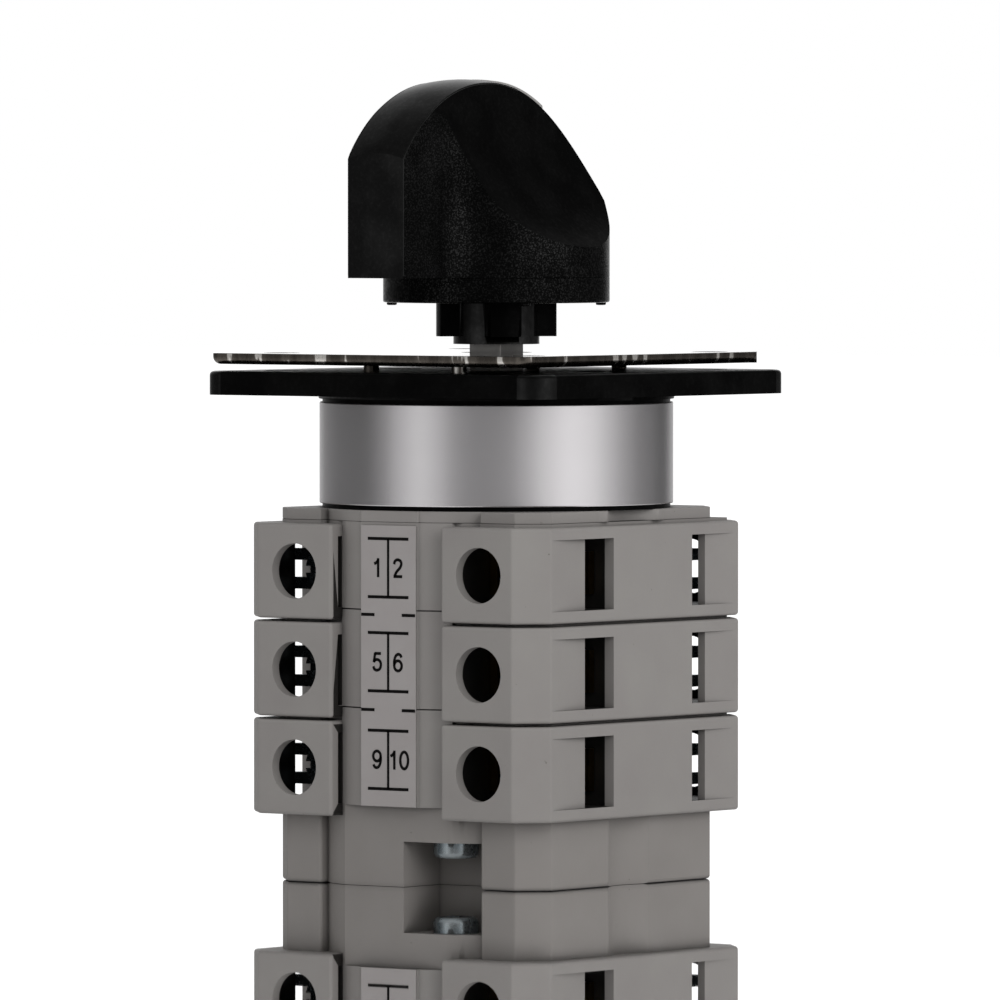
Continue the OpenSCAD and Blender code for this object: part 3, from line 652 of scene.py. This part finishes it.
# %% [markdown]
# ## Which edges are rounded
# Each solid names the edges that get a bevel. The choosers below take the
# facts of all edges at once and answer with one True or False for each, by
# the edge's length or by the height of the rim that it lies on.

# %% Edge choosers
def long_edges(f):
    """Edges longer than 1.5 mm."""
    return f["length"] > 1.5 * MM


def any_edge(f):
    """Every edge but slivers."""
    return f["length"] > 0.05 * MM


def upper_rim(z, reach):
    """Chooser for edges at height z, at least reach from the shaft in X or Y."""
    def choose(f):
        far = np.abs(f["mid"][:, :2]).max(1) > reach
        return far & (np.abs(f["mid"][:, 2] - z) < 0.05 * MM)
    return choose


# %% [markdown]
# ## Shaded chambers
# Shade is painted into the chambers, so the slots in the bars show black
# rather than grey. The chambers' walls are the faces that lie deeper than
# the skin of the bar or the column.

# %% Shaded chambers
SKIN = 0.9 * MM  # a face that lies deeper than this under the walls is inside
COLUMN_X = 8.2 * MM  # half width of the column between the bars
COLUMN_R = 19.2 * MM  # faces of the column nearer than this to the shaft are inside


def darken_chambers(piece, walls):
    """Painted-shade finish for faces whose middle lies deeper than SKIN in a bar, or in the column.
    """
    middle = per_face(piece.data, "center")
    inside = np.zeros(len(middle), bool)
    for normals, offsets, _ in walls:
        # the first wall is where the bar joins the column, and doesn't count
        depth = (middle @ normals[1:].T - offsets[1:]).max(1)
        inside |= (depth < -SKIN) & (middle @ normals[1] > COLUMN_X)
    from_shaft = np.hypot(middle[:, 0], middle[:, 1])
    column = (np.abs(middle[:, 0]) <= COLUMN_X) & (from_shaft < COLUMN_R)
    repaint(piece, (inner_shade_grey, inside | column))


# %% [markdown]
# ## The grey housings
# A deck is a round column with a terminal bar on each side, moulded in one.
# The bars' outer edges, and those of the base's two blocks, have a radius of
# about 0.4 mm, made by moving the skin as above. The cover is a plain enough
# shape for a bevel.

# %% Housings
bar_h = 11.15 * MM
bar_root = 8 * MM  # where a bar leaves the column
near_chamfer, far_chamfer = 3.3 * MM, 2.7 * MM
bar_radius = 0.42 * MM
half_x, half_y = span("deck_1_housing", 0)[1], span("deck_1_housing", 1)[1]
block = (11.7 * MM, 19.8 * MM, 18.7 * MM, 3.1 * MM, 3.1 * MM)  # the base's, as in prism_walls
block_radius = 0.4 * MM


def bars_of(name):
    """The left and right terminal bar of a deck."""
    z0 = span(name)[0]
    size = (bar_root, half_x, half_y, near_chamfer, far_chamfer, z0, z0 + bar_h)
    return [(*prism_walls(*size, side), bar_radius) for side in (1, -1)]


for k in (1, 2, 3):
    bars = bars_of(f"deck_{k}_housing")
    deck = rounded(f"deck_{k}_housing", case_grey, [], prisms=bars, sharp=24)
    darken_chambers(deck, bars)
blocks = [(*prism_walls(*block, 0, base_top, side), block_radius) for side in (1, -1)]
rounded("base_plate", shaded_base_grey, [], prisms=blocks, sharp=24)
rounded("top_cover", case_grey, [(any_edge, 0.12 * MM, 2)])

# %% [markdown]
# ## Flange, detent housing, hub
# The flange's top edge is rounded, and its lower edge is left nearly sharp
# where the mould parted. Its corners and the hub's round boss stick out, so
# handling has rubbed them shiny.

# %% Black parts
flange = rounded(
    "mounting_flange", flange_black,
    [(upper_rim(flange_high, 20 * MM), 0.5 * MM, 4)],
)
rounded("detent_housing", flange_black, [(long_edges, 0.1 * MM, 1)])
hub = rounded("handle_hub", flange_black, [(long_edges, 0.2 * MM, 2)])

corner = 21.8 * MM  # both X and Y lie further out than this at a corner
boss_r = 5.05 * MM
x, y, _ = np.abs(per_face(flange.data, "center")).T
repaint(flange, (rubbed_black, np.minimum(x, y) > corner))
x, y, _ = per_face(hub.data, "center").T
repaint(hub, (rubbed_black, np.abs(np.hypot(x, y) - boss_r) < 0.12 * MM))

# %% [markdown]
# ## Legend plate
# The plate is pressed from sheet, so its lower edge is drawn in with a large
# radius and its upper edge is crisp. Only the face was polished. The edge is
# given a dark tone, with bright flecks painted in as glints, so every face
# that doesn't look straight up takes the second finish.

# %% Legend plate
rim_x = 22 * MM
legend = rounded(
    "legend_plate", legend_metal,
    [(upper_rim(legend_high - 1.3 * MM, rim_x), 0.9 * MM, 6),
     (upper_rim(legend_high, rim_x), 0.08 * MM, 2)],
)
repaint(legend, (legend_edge_glints, per_face(legend.data, "normal")[:, 2] < 0.9))

# %% [markdown]
# ## Foil band
# The band wraps the detent housing. A tube with a Solidify modifier would do,
# but a closed profile carried round the shaft also gives it rolled edges.

# %% Foil band
outer = span("rating_band", 0)[1]
inner = outer - 0.34 * MM
edge = 0.12 * MM  # radius of the rolled edge
band_profile = [
    (inner, band_low), (outer - edge, band_low), (outer - edge * 0.3, band_low + edge * 0.3),
    (outer, band_low + edge), (outer, band_low + 1.5 * edge), (outer, band_high - 1.5 * edge),
    (outer, band_high - edge), (outer - edge * 0.3, band_high - edge * 0.3),
    (outer - edge, band_high), (inner, band_high),
]
band = grid_piece(
    "foil_band", lathe(band_profile, 256), "housing", foil, closed=(True, True)
)
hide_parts("rating_band")
print("band from", round(band_low / MM, 2), "to", round(band_high / MM, 2), "mm")

# %% [markdown]
# ## Knob
# The knob is one moulding: a round body and a pointer nose under a shared
# dome, with a finger hollow scooped out of each side. A section across it at
# any point Y along the nose runs up the wall, along the hollow, and over the
# crest, so the sections are worked out together and joined.

# %% Knob sections
knob_r = span("knob", 0)[1]
nose_half = 4.05 * MM
nose_reach = -span("knob", 1)[0]
web = 5 * MM
dome_r, dome_y = 20.3 * MM, -6.8 * MM
dome_z = seam + 2.9 * MM
scoop_r, scoop_x, scoop_z = 21.3 * MM, 25.25 * MM, seam + 21.2 * MM
rear_y = 9 * MM  # behind this the sections crowd together, as the wall turns square to Y
fillet_x = nose_half + web
fillet_y = -math.sqrt((knob_r + web) ** 2 - fillet_x**2)
tangent_y = fillet_y * knob_r / (knob_r + web)


def half_width(y):
    """Nose half width, then a fillet arc, then the round body: sqrt(R^2 - y^2)."""
    body = np.sqrt(np.clip(knob_r**2 - y**2, 0, None))
    arc = fillet_x - np.sqrt(np.clip(web**2 - (y - fillet_y) ** 2, 0, None))
    return np.where(y < fillet_y, nose_half, np.where(y < tangent_y, arc, body))


def dome(x, y):
    """Height of the dome: a ball of radius dome_r about (0, dome_y, dome_z)."""
    return dome_z + np.sqrt(np.clip(dome_r**2 - x**2 - (y - dome_y) ** 2, 0, None))


def hollow(z):
    """Half width left by the hollow at height z: a cylinder along Y of radius scoop_r."""
    return scoop_x - np.sqrt(np.clip(scoop_r**2 - (z - scoop_z) ** 2, 0, None))


y = np.unique(np.concatenate([
    np.linspace(-nose_reach, fillet_y, 36), np.linspace(fillet_y, tangent_y, 24),
    np.linspace(tangent_y, rear_y, 70),
    rear_y + (knob_r - rear_y) * np.sin(np.linspace(0, np.pi / 2, 30)),
]))
w = half_width(y)
# the crest's rim is where hollow and dome meet: each turn comes closer to it
crest_z = dome(nose_half, y)
for _ in range(40):
    crest_z = dome(np.minimum(hollow(crest_z), w), y)
crest_x = np.minimum(hollow(crest_z), w)
scoop_foot = scoop_z - np.sqrt(np.clip(scoop_r**2 - (scoop_x - w) ** 2, 0, None))
wall_z = np.minimum(np.where(crest_x < w, scoop_foot, dome(w, y)), crest_z)

t = np.linspace(0, 1, 12)[None, :]
wall = np.stack([w[:, None] + 0 * t, seam + (wall_z[:, None] - seam) * t], -1)
t = np.linspace(0, 1, 26)[None, 1:]
z = wall_z[:, None] + (crest_z - wall_z)[:, None] * t
scoop = np.stack([np.minimum(hollow(z), w[:, None]), z], -1)
t = np.linspace(1, 0, 14)[None, 1:]
x = crest_x[:, None] * t
over = np.stack([x, dome(x, y[:, None])], -1)
right = np.concatenate([wall, scoop, over], 1)
left = right[:, ::-1][:, 1:] * [-1, 1]
section = np.concatenate([right, left], 1)
along_y = np.broadcast_to(y[:, None], section.shape[:2])
points = np.stack([section[..., 0], along_y, section[..., 1]], -1)
knob = grid_piece(
    "knob_shell", points, "handle", knob_black, caps=True, sharp=25
)
top = points[..., 2].max() / MM
print("knob:", points.shape, "points, top at", round(float(top), 2), "mm")

# %% [markdown]
# ## Wear on the knob
# The hollows were polished in the mould, and fingers have worn the nose and
# the crest between them. The hollow's faces are those at its cylinder's
# radius. A small bevel stands for the radius of the mould's edges.

# %% Knob finishes and edges
centre, normal = per_face(knob.data, "center"), per_face(knob.data, "normal")
from_axis = np.hypot(np.abs(centre[:, 0]) - scoop_x, centre[:, 2] - scoop_z)
in_hollow = (np.abs(from_axis - scoop_r) < 0.06 * MM) & (centre[:, 2] < crest_z.max())
worn = (np.abs(centre[:, 0]) < 4.4 * MM) & (np.abs(normal[:, 0]) < 0.3) & ~in_hollow
repaint(knob, (knob_smooth, in_hollow), (worn_black, worn))
bevel = knob.modifiers.new("mould_radius", "BEVEL")
bevel.width, bevel.segments, bevel.angle_limit = 0.28 * MM, 3, math.radians(25)
knob.modifiers.new("flats", "WEIGHTED_NORMAL").keep_sharp = True
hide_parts("knob")

# %% [markdown]
# ## Knob skirt
# Under the seam the knob is a plain ring, and a fine groove marks the seam. A
# cylinder with an inset would do. A profile turned about the shaft gives the
# groove and the rounded foot in one go.

# %% Knob skirt
groove = 0.06 * MM
skirt_profile = [
    (0, seam - groove * 0.2), (knob_r - groove, seam - groove * 0.2),
    (knob_r, seam - groove * 1.4), (knob_r, knob_low + 0.3 * MM), (knob_r, knob_low + 0.2 * MM),
    (knob_r - 0.06 * MM, knob_low + 0.06 * MM), (knob_r - 0.2 * MM, knob_low), (0, knob_low),
]
grid_piece("knob_skirt", lathe(skirt_profile, 200), "handle", knob_black)
print("skirt from", round(knob_low / MM, 2), "to", round(seam / MM, 2), "mm")

# %% [markdown]
# ## Nubs
# Four short round studs stand under the ring. They are one profile, turned
# once, and the array of points is added to four places.

# %% Nubs under the skirt
nub = [(0, 0.1), (0.6, 0.1), (0.6, -0.22), (0.52, -0.32), (0.3, -0.35), (0, -0.35)]
nub_x, nub_y = 9.84 * MM, 7.4 * MM
nub_ring = lathe(np.array(nub) * MM, 32)
for k, (side_x, side_y) in enumerate([(1, 1), (-1, 1), (-1, -1), (1, -1)]):
    at = np.array([side_x * nub_x, side_y * nub_y, knob_low])
    grid_piece(f"skirt_nub_{k}", nub_ring + at, "handle", knob_black)
print("nubs:", k + 1)

# %% [markdown]
# ## Mould flash
# Where the halves of the mould met, a thin ridge is left up the nose and
# along the crest's rims. A bevelled curve could draw it. Here a ring of
# points is carried along the edge, since the edge is already an array.

# %% Flash along the nose
def bead(name, path, radius, steps=8):
    """Round bead: p + radius (cos a * u + sin a * v), u and v square to the path at p."""
    p = np.asarray(path, float)
    along = np.gradient(p, axis=0)
    along /= np.linalg.norm(along, axis=1)[:, None]
    u = np.cross(along, [1.0, 0.0, 0.0])
    u /= np.linalg.norm(u, axis=1)[:, None]
    v = np.cross(along, u)
    a = np.linspace(0, 2 * np.pi, steps, endpoint=False)[None, :, None]
    points = p[:, None] + radius * (np.cos(a) * u[:, None] + np.sin(a) * v[:, None])
    return grid_piece(name, points, "handle", rubbed_black, caps=True)


sunk = 0.08 * MM  # how far the bead's middle lies under the skin
up = np.linspace(seam + 0.3 * MM, wall_z[0], 30)
front_edge = np.stack([0 * up + nose_half - sunk, 0 * up - nose_reach + sunk, up], 1)
run = (y > -nose_reach + 0.3 * MM) & (y < -1 * MM)
crest_edge = np.stack([crest_x[run] - 0.05 * MM, y[run], crest_z[run] - sunk], 1)
for side, name in ((1, "right"), (-1, "left")):
    path = np.concatenate([front_edge, crest_edge]) * [side, 1, 1]
    bead(f"nose_flash_{name}", path, 0.12 * MM)
print("flash:", len(path), "points to a side")

# %% [markdown]
# ## Terminal label
# A vinyl strip stands up the front of the stack. Each deck has its two
# terminal numbers on either side of an upright with crossbars, and short
# ticks mark the joints. The print could be an image on the label. Drawn as a
# film of ink 0.02 mm thick, it stays crisp at any distance.

# %% Ribbons of ink
STROKE = 0.35 * MM


def ribbon(path, width, face, closed=False):
    """Ink line along (x, z) points: each point p gives p +- width / 2 times the normal."""
    p = np.asarray(path, float)
    ahead = np.roll(p, -1, 0) - np.roll(p, 1, 0) if closed else np.gradient(p, axis=0)
    along = ahead / np.linalg.norm(ahead, axis=1)[:, None]
    out = np.stack([-along[:, 1], along[:, 0]], 1) * width / 2
    film = 0.02 * MM
    rim = [(out, -film), (-out, -film), (-out, film), (out, film)]
    corners = [(p + aside, face + depth) for aside, depth in rim]
    return np.stack([np.stack([q[:, 0], y + 0 * q[:, 0], q[:, 1]], 1) for q, y in corners], 1)


def curve_through(points, steps=9):
    """Catmull-Rom curve: on each span, a cubic through its ends with slopes from the neighbours."""
    p = np.asarray(points, float)
    p = np.concatenate([[2 * p[0] - p[1]], p, [2 * p[-1] - p[-2]]])
    t = np.linspace(0, 1, steps, endpoint=False)[None, :, None]
    a, b, c, d = (p[k : len(p) - 3 + k, None] for k in range(4))
    spans = b + 0.5 * t * (c - a + t * (2 * a - 5 * b + 4 * c - d + t * (3 * (b - c) + d - a)))
    return np.concatenate([spans.reshape(-1, 2), p[-2:-1]])


def ellipse(cx, cz, rx, rz, steps=36):
    """Closed path (cx + rx cos a, cz + rz sin a)."""
    a = np.linspace(0, 2 * np.pi, steps, endpoint=False)
    return np.stack([cx + rx * np.cos(a), cz + rz * np.sin(a)], 1)


# %% [markdown]
# ## Numerals
# Each numeral is one or two strokes in a box of height 1, in the plain style
# of engraved labels. A stroke is a line, a curve through points, or a ring,
# so no font file is needed.

# %% Numerals
six_back = [(0.09, 0.33), (0.10, 0.60), (0.20, 0.84), (0.36, 0.93), (0.50, 0.88), (0.57, 0.76)]
one_flag = [(0.40, 0.90), (0.28, 0.77), (0.14, 0.70)]
two_neck = [(0.09, 0.70), (0.15, 0.87), (0.33, 0.94), (0.51, 0.87), (0.56, 0.71), (0.47, 0.52),
            (0.25, 0.30), (0.11, 0.06)]
five_bowl = [(0.10, 0.50), (0.24, 0.61), (0.40, 0.61), (0.54, 0.51), (0.58, 0.33), (0.51, 0.14),
             (0.33, 0.06), (0.16, 0.11), (0.08, 0.26)]
GLYPHS = {
    "1": [("open", [(0.40, 0.0), (0.40, 1.0)]), ("open", curve_through(one_flag))],
    "2": [("open", curve_through(two_neck)), ("open", [(0.05, 0.06), (0.62, 0.06)])],
    "5": [("open", [(0.58, 0.94), (0.17, 0.94)]), ("open", [(0.20, 0.97), (0.12, 0.47)]),
          ("open", curve_through(five_bowl))],
    "6": [("closed", ellipse(0.34, 0.32, 0.245, 0.265)), ("open", curve_through(six_back))],
    "9": [("closed", ellipse(0.32, 0.68, 0.245, 0.265)),
          ("open", curve_through([(0.66 - x, 1.0 - z) for x, z in six_back]))],
    "0": [("closed", ellipse(0.33, 0.5, 0.255, 0.445))],
}
print("numerals:", " ".join(GLYPHS))


def numeral(text, x, z, tall, face):
    """Ribbons of a number whose middle is at (x, z) and whose height is tall."""
    made, step = [], 0.72 * tall
    for k, letter in enumerate(text):
        left = x + (k - (len(text) - 1) / 2) * step - 0.33 * tall
        for kind, path in GLYPHS[letter]:
            closed = kind == "closed"
            path = np.asarray(path) * tall + np.array([left, z - tall / 2])
            made.append((ribbon(path, STROKE, face, closed), closed))
    return made


# %% [markdown]
# ## Print on the label
# All the ink is one mesh. The ribbons' points are stacked in one array, and
# each ribbon's faces are counted on from the points before it.

# %% Label and its print
rounded("terminal_label", label_film, [(any_edge, 0.05 * MM, 2)])
rows = [37.25 * MM, 26.27 * MM, 14.87 * MM]
numbers = (("1", "2"), ("5", "6"), ("9", "10"))
upright, bar, tall = 3.4 * MM, 2.97 * MM, 2.22 * MM  # half, half and whole length
lines = []
for z in rows:
    lines.append(([(0, z - upright), (0, z + upright)], 0.33 * MM))
    for end in (-upright, upright):
        lines.append(([(-bar, z + end), (bar, z + end)], 0.36 * MM))
for z in (31.77 * MM, 20.67 * MM):
    for side in (-1, 1):
        lines.append(([(side * 3.95 * MM, z), (side * 2.0 * MM, z)], 0.36 * MM))
print_parts = [(ribbon(path, width, label_face), False) for path, width in lines]
for z, (a, b) in zip(rows, numbers):
    print_parts += numeral(a, -1.62 * MM, z, tall, label_face)
    print_parts += numeral(b, (1.42 if len(b) == 1 else 1.55) * MM, z, tall, label_face)
vertices, faces, count = [], [], 0
for points, closed in print_parts:
    n = len(points)
    vertices.append(points.reshape(-1, 3))
    faces += (grid_faces(n, 4, closed, True) + count).tolist()
    if not closed:
        last = count + 4 * n - 4
        faces += [[count + k for k in range(4)], [last + k for k in (3, 2, 1, 0)]]
    count += 4 * n
mesh = bpy.data.meshes.new("label_print")
mesh.from_pydata(np.concatenate(vertices).tolist(), [], faces)
finish_mesh("label_print", mesh, "housing", ink)
print("label print:", len(print_parts), "ribbons")

# %% [markdown]
# ## Insert
# The light strip in the crest shows where the knob points. Its top is the
# knob's own dome moved a little back, so it stands proud at the rear, where
# it was pushed in last. Top and floor are two sheets of points joined round.

# %% Crest insert
low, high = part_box("knob_insert")
across = np.linspace(low[0], high[0], 14)
along = np.linspace(low[1], high[1], 40)
top = dome(across[None, :], along[:, None] - 1.95 * MM)
floor_z = dome(across[None, :], along[:, None]) - 0.6 * MM
x, y = np.meshgrid(across, along)
sheets = [np.stack([x, y, height], -1) for height in (top, floor_z)]
points = np.concatenate([sheets[0], sheets[1][:, ::-1]], 1)
insert = grid_piece("crest_insert", points, "handle", insert_grey, caps=True)
bevel = insert.modifiers.new("soft_edge", "BEVEL")
bevel.width, bevel.segments, bevel.angle_limit = 0.14 * MM, 2, math.radians(40)
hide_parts("knob_insert")
print("insert:", points.shape, "points")

# %% [markdown]
# ## Shaft and base screws
# The shaft is drawn square bar, whose corners keep a small radius. A pan-head
# screw is cold headed, so the rim of its head is well rounded. Only those
# edges are bevelled, and the rest of the solid is kept.

# %% Shaft and base screws
head_low = span("base_screws")[0]
square_reach = 3.4 * MM  # the square's corners lie nearer the axis than this


def head_rim(f):
    """The outer rim of a screw head, at its free end."""
    return (f["length"] < 1 * MM) & (np.abs(f["mid"][:, 2] - head_low) < 0.05 * MM)


def shaft_corners(f):
    """The four long corners of the square shaft."""
    return long_edges(f) & (np.hypot(f["mid"][:, 0], f["mid"][:, 1]) < square_reach)


rounded("shaft", shaft_metal, [(shaft_corners, 0.18 * MM, 2)])
rounded("base_screws", zinc, [(head_rim, 0.7 * MM, 5)])

# %% [markdown]
# ## Contact springs
# Each contact carrier is pushed inwards by a small coil spring. Its outer
# end rests on the housing and its inner end follows the carrier, so the coil
# gets shorter and longer. Here a smooth copy of the solid, in drawn steel,
# stands in its place and stays where it is.

# %% Contact springs
def contact_spring(side, k):
    """Smooth copy of a spring, in drawn steel, left where the solid stands; the solid is hidden."""
    name = f"{side}_spring_{k}"
    mesh, bm = welded_copy(name, "_coil")
    bm.to_mesh(mesh)
    bm.free()
    mesh.polygons.foreach_set("use_smooth", np.ones(len(mesh.polygons), bool))
    mesh.materials.append(steel)
    piece = bpy.data.objects.new(name + "_coil", mesh)
    bpy.context.scene.collection.objects.link(piece)
    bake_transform(piece)
    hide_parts(name)


for k in (1, 2, 3):
    contact_spring("front", k)
    contact_spring("back", k)
print("contact springs: 6")

# %% [markdown]
# ## Finish of the inner solids
# The contacts, springs, cams and fasteners inside keep the solids as they
# are. Each takes the finish of its real material, found by how its name
# starts, so the three decks share one list.

# %% Inner solids
finishes = {
    "fixed_contacts": brass, "front_bridge": brass, "back_bridge": brass,
    "terminal_screws": zinc, "clamp_plates": zinc, "tie_screws": zinc, "tie_nuts": zinc,
    "knob_screw": zinc, "stop_plate": steel, "detent_springs": steel, "detent_rollers": steel,
    "front_plunger": acetal, "back_plunger": acetal, "cam": acetal, "detent_star": acetal,
    "stop_arm": acetal,
}
for name, piece in nodes.items():
    for start, material in finishes.items():
        if name.startswith(start):
            piece.data.materials.clear()
            piece.data.materials.append(material)
plain = [n for n, p in nodes.items() if not p.hide_render and not n.startswith(tuple(finishes))]
print("solids with no finish yet:", plain)

# %% [markdown]
# ## Floor
# The floor is pale polished acrylic, which mirrors the stack at a low angle.
# A clear coat would mirror too weakly, so a glossy shader is mixed in, more
# of it the lower one looks.

# %% Floor
def floor_material():
    """Polished acrylic: a mirror at a low angle, turning to pale and matt from above."""
    material, tree, shader, coords = blank("polished_white_acrylic")
    smears = add(
        tree, "ShaderNodeTexNoise", {"Vector": coords, "Scale": 1 / (30 * MM), "Detail": 4.0}
    )
    gloss = add(
        tree, "ShaderNodeMapRange",
        {"Value": smears.outputs["Fac"], "To Min": 0.008, "To Max": 0.014},
    )
    wire(tree, shader, {"Base Color": linear("#EFEFEF"), "Roughness": 0.3})
    mirror = add(
        tree, "ShaderNodeBsdfGlossy", {"Color": (1, 1, 1, 1), "Roughness": gloss.outputs["Result"]}
    )
    facing = add(tree, "ShaderNodeLayerWeight", {"Blend": 0.5})
    low_angle = add(
        tree, "ShaderNodeMapRange",
        {"Value": facing.outputs["Facing"], "From Min": 0.4, "From Max": 0.92,
         "To Min": 0.03, "To Max": 1.0},
    )
    both = add(
        tree, "ShaderNodeMixShader",
        {0: low_angle.outputs["Result"], 1: shader.outputs[0], 2: mirror.outputs[0]},
    )
    tree.links.new(both.outputs[0], tree.nodes["Material Output"].inputs["Surface"])
    return material


reach = 3.0
drop = -0.03 * MM  # a little under the base, so that the two don't share a plane
corners = [(x * reach, y * reach, drop) for x, y in ((-1, -1), (1, -1), (1, 1), (-1, 1))]
mesh = bpy.data.meshes.new("floor")
mesh.from_pydata(corners, [], [(0, 1, 2, 3)])
mesh.materials.append(floor_material())
floor = bpy.data.objects.new("floor", mesh)
bpy.context.scene.collection.objects.link(floor)
floor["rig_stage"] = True
print("floor:", 2 * reach, "m square")

# %% [markdown]
# ## World
# The part stands in a white tent, so most of the light comes evenly from all
# sides. Shiny surfaces see the tent itself: bright panels, dark gaps, and the
# white backdrop behind. A ring of grey levels round the horizon draws that,
# and Light Path sends each kind of ray to its own background.

# %% World
# bearing in degrees from -Y towards +X, and what a shiny surface sees there
ROOM = [
    (-143, 1.06), (-127, 0.35), (-109, 0.13), (-83, 0.12), (-57, 0.10), (-42, 0.22),
    (-30, 0.49), (-14, 0.73), (-1, 0.55), (10, 0.29), (24, 0.22), (43, 0.25), (57, 0.46),
    (68, 0.74), (86, 0.97), (102, 0.86), (115, 0.60), (129, 0.36), (145, 0.20), (178, 0.10),
    (200, 0.45), (217, 1.06),
]
world = bpy.data.worlds.new("studio")
bpy.context.scene.world = world
world.use_nodes = True
tree = world.node_tree
tree.nodes.clear()
path = add(tree, "ShaderNodeLightPath").outputs
direction = add(tree, "ShaderNodeTexCoord").outputs["Generated"]
part = add(tree, "ShaderNodeSeparateXYZ", {"Vector": direction}).outputs
front = add(tree, "ShaderNodeMath", {0: part["Y"], 1: -1.0}, operation="MULTIPLY")
bearing = add(tree, "ShaderNodeMath", {0: part["X"], 1: front.outputs[0]}, operation="ARCTAN2")
# one turn, starting from straight behind the part, becomes 0 to 1
turn = bearing
for step, value in (
    ("ADD", math.radians(143.13)), ("FLOORED_MODULO", 2 * math.pi), ("DIVIDE", 2 * math.pi)
):
    turn = add(tree, "ShaderNodeMath", {0: turn.outputs[0], 1: value}, operation=step)
walls = add(tree, "ShaderNodeValToRGB", {"Fac": turn.outputs[0]})
walls.color_ramp.interpolation = "EASE"
stops = walls.color_ramp.elements
while len(stops) < len(ROOM):
    stops.new(0.5)
for stop, (degrees, level) in zip(stops, ROOM):
    stop.position = min((degrees - ROOM[0][0]) / 360, 1.0)
    stop.color = (level, level, level, 1)
height = add(tree, "ShaderNodeMath", {0: part["Z"]}, operation="ABSOLUTE")
fade = add(
    tree, "ShaderNodeMapRange",
    {"Value": height.outputs[0], "From Min": 0.2, "From Max": 0.75, "To Min": 1.0, "To Max": 0.3},
    interpolation_type="SMOOTHSTEP",
)
level = add(
    tree, "ShaderNodeMath", {0: walls.outputs["Color"], 1: fade.outputs["Result"]},
    operation="MULTIPLY",
)
# a large pale panel hangs high up, behind the left of the set, for the crest of the knob
upward = add(
    tree, "ShaderNodeVectorMath", {0: direction, 1: (-0.6, 0.45, 0.66)}, operation="DOT_PRODUCT"
)
panel = add(
    tree, "ShaderNodeMapRange",
    {"Value": upward.outputs["Value"], "From Min": 0.55, "From Max": 1.0,
     "To Min": 0.0, "To Max": 0.2},
    interpolation_type="SMOOTHSTEP",
)
level = add(
    tree, "ShaderNodeMath", {0: level.outputs[0], 1: panel.outputs["Result"]}, operation="ADD"
)
shiny = add(
    tree, "ShaderNodeMath", {0: path["Is Glossy Ray"], 1: path["Is Transmission Ray"]},
    operation="MAXIMUM",
)
room, seen, white = (
    add(tree, "ShaderNodeBackground", {"Color": (1, 1, 1, 1), "Strength": strength}).outputs[0]
    for strength in (0.9, level.outputs[0], 1.0)
)
mixed = add(tree, "ShaderNodeMixShader", {0: shiny.outputs[0], 1: room, 2: seen})
final = add(tree, "ShaderNodeMixShader", {0: path["Is Camera Ray"], 1: mixed.outputs[0], 2: white})
add(tree, "ShaderNodeOutputWorld", {"Surface": final.outputs[0]})
print("world:", len(ROOM), "grey levels round the horizon")

# %% [markdown]
# ## Lamp
# One large soft lamp on the right gives the even light a direction, so the
# two sides of each corner differ. It has no mirror image of its own, because
# the world above already holds a bright panel there.

# %% Lamp
def soft_lamp(name, bearing, height_deg, distance, size, watts):
    """Area lamp aimed at the middle of the stack. bearing is degrees from -Y towards +X."""
    a, e = math.radians(bearing), math.radians(height_deg)
    away = np.array([math.sin(a) * math.cos(e), -math.cos(a) * math.cos(e), math.sin(e)])
    data = bpy.data.lights.new(name, "AREA")
    data.shape, data.size, data.size_y, data.energy = "RECTANGLE", size[0], size[1], watts
    lamp = bpy.data.objects.new(name, data)
    bpy.context.scene.collection.objects.link(lamp)
    lamp.location = away * distance + np.array([0, 0, 45 * MM])
    lamp.rotation_mode = "QUATERNION"
    lamp.rotation_quaternion = Vector(away).to_track_quat("Z", "Y")
    lamp.visible_glossy = False
    return lamp


lamp = soft_lamp("right_softbox", 72, 20, 1.3, (0.8, 0.8), 6.2)
print("lamp:", lamp.data.energy, "W at", [round(c, 2) for c in lamp.location], "m")

# %% [markdown]
# ## Camera
# A long lens from 1.4 m away keeps the upright edges almost parallel. It
# stands at the height of the knob and looks along the floor, slightly down,
# at the corner between the label side and the right-hand side.

# %% Camera
camera = bpy.data.objects.new("camera", bpy.data.cameras.new("camera"))
bpy.context.scene.collection.objects.link(camera)
camera.data.sensor_width, camera.data.lens = 36, 437.0
camera.data.clip_start, camera.data.clip_end = 0.05, 20
camera.location = (0.8586, -1.1435, 0.0859)
pan = math.atan2(0.6, 0.8) + math.radians(0.0142)
camera.rotation_euler = (math.radians(90 - 1.651), 0, pan)
bpy.context.scene.camera = camera
print("camera:", camera.data.lens, "mm lens at", [round(c, 3) for c in camera.location], "m")

# %% [markdown]
# ## Colours and sizes
# The Standard view shows a colour as it is written. The dressed part's box is
# written beside that of the solids, so that the two can be compared.

# %% Colour management and the box
bpy.context.scene.view_settings.view_transform = "Standard"
low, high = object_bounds()
print("visual box in mm:", [round(c * 1000, 2) for c in (high - low)])
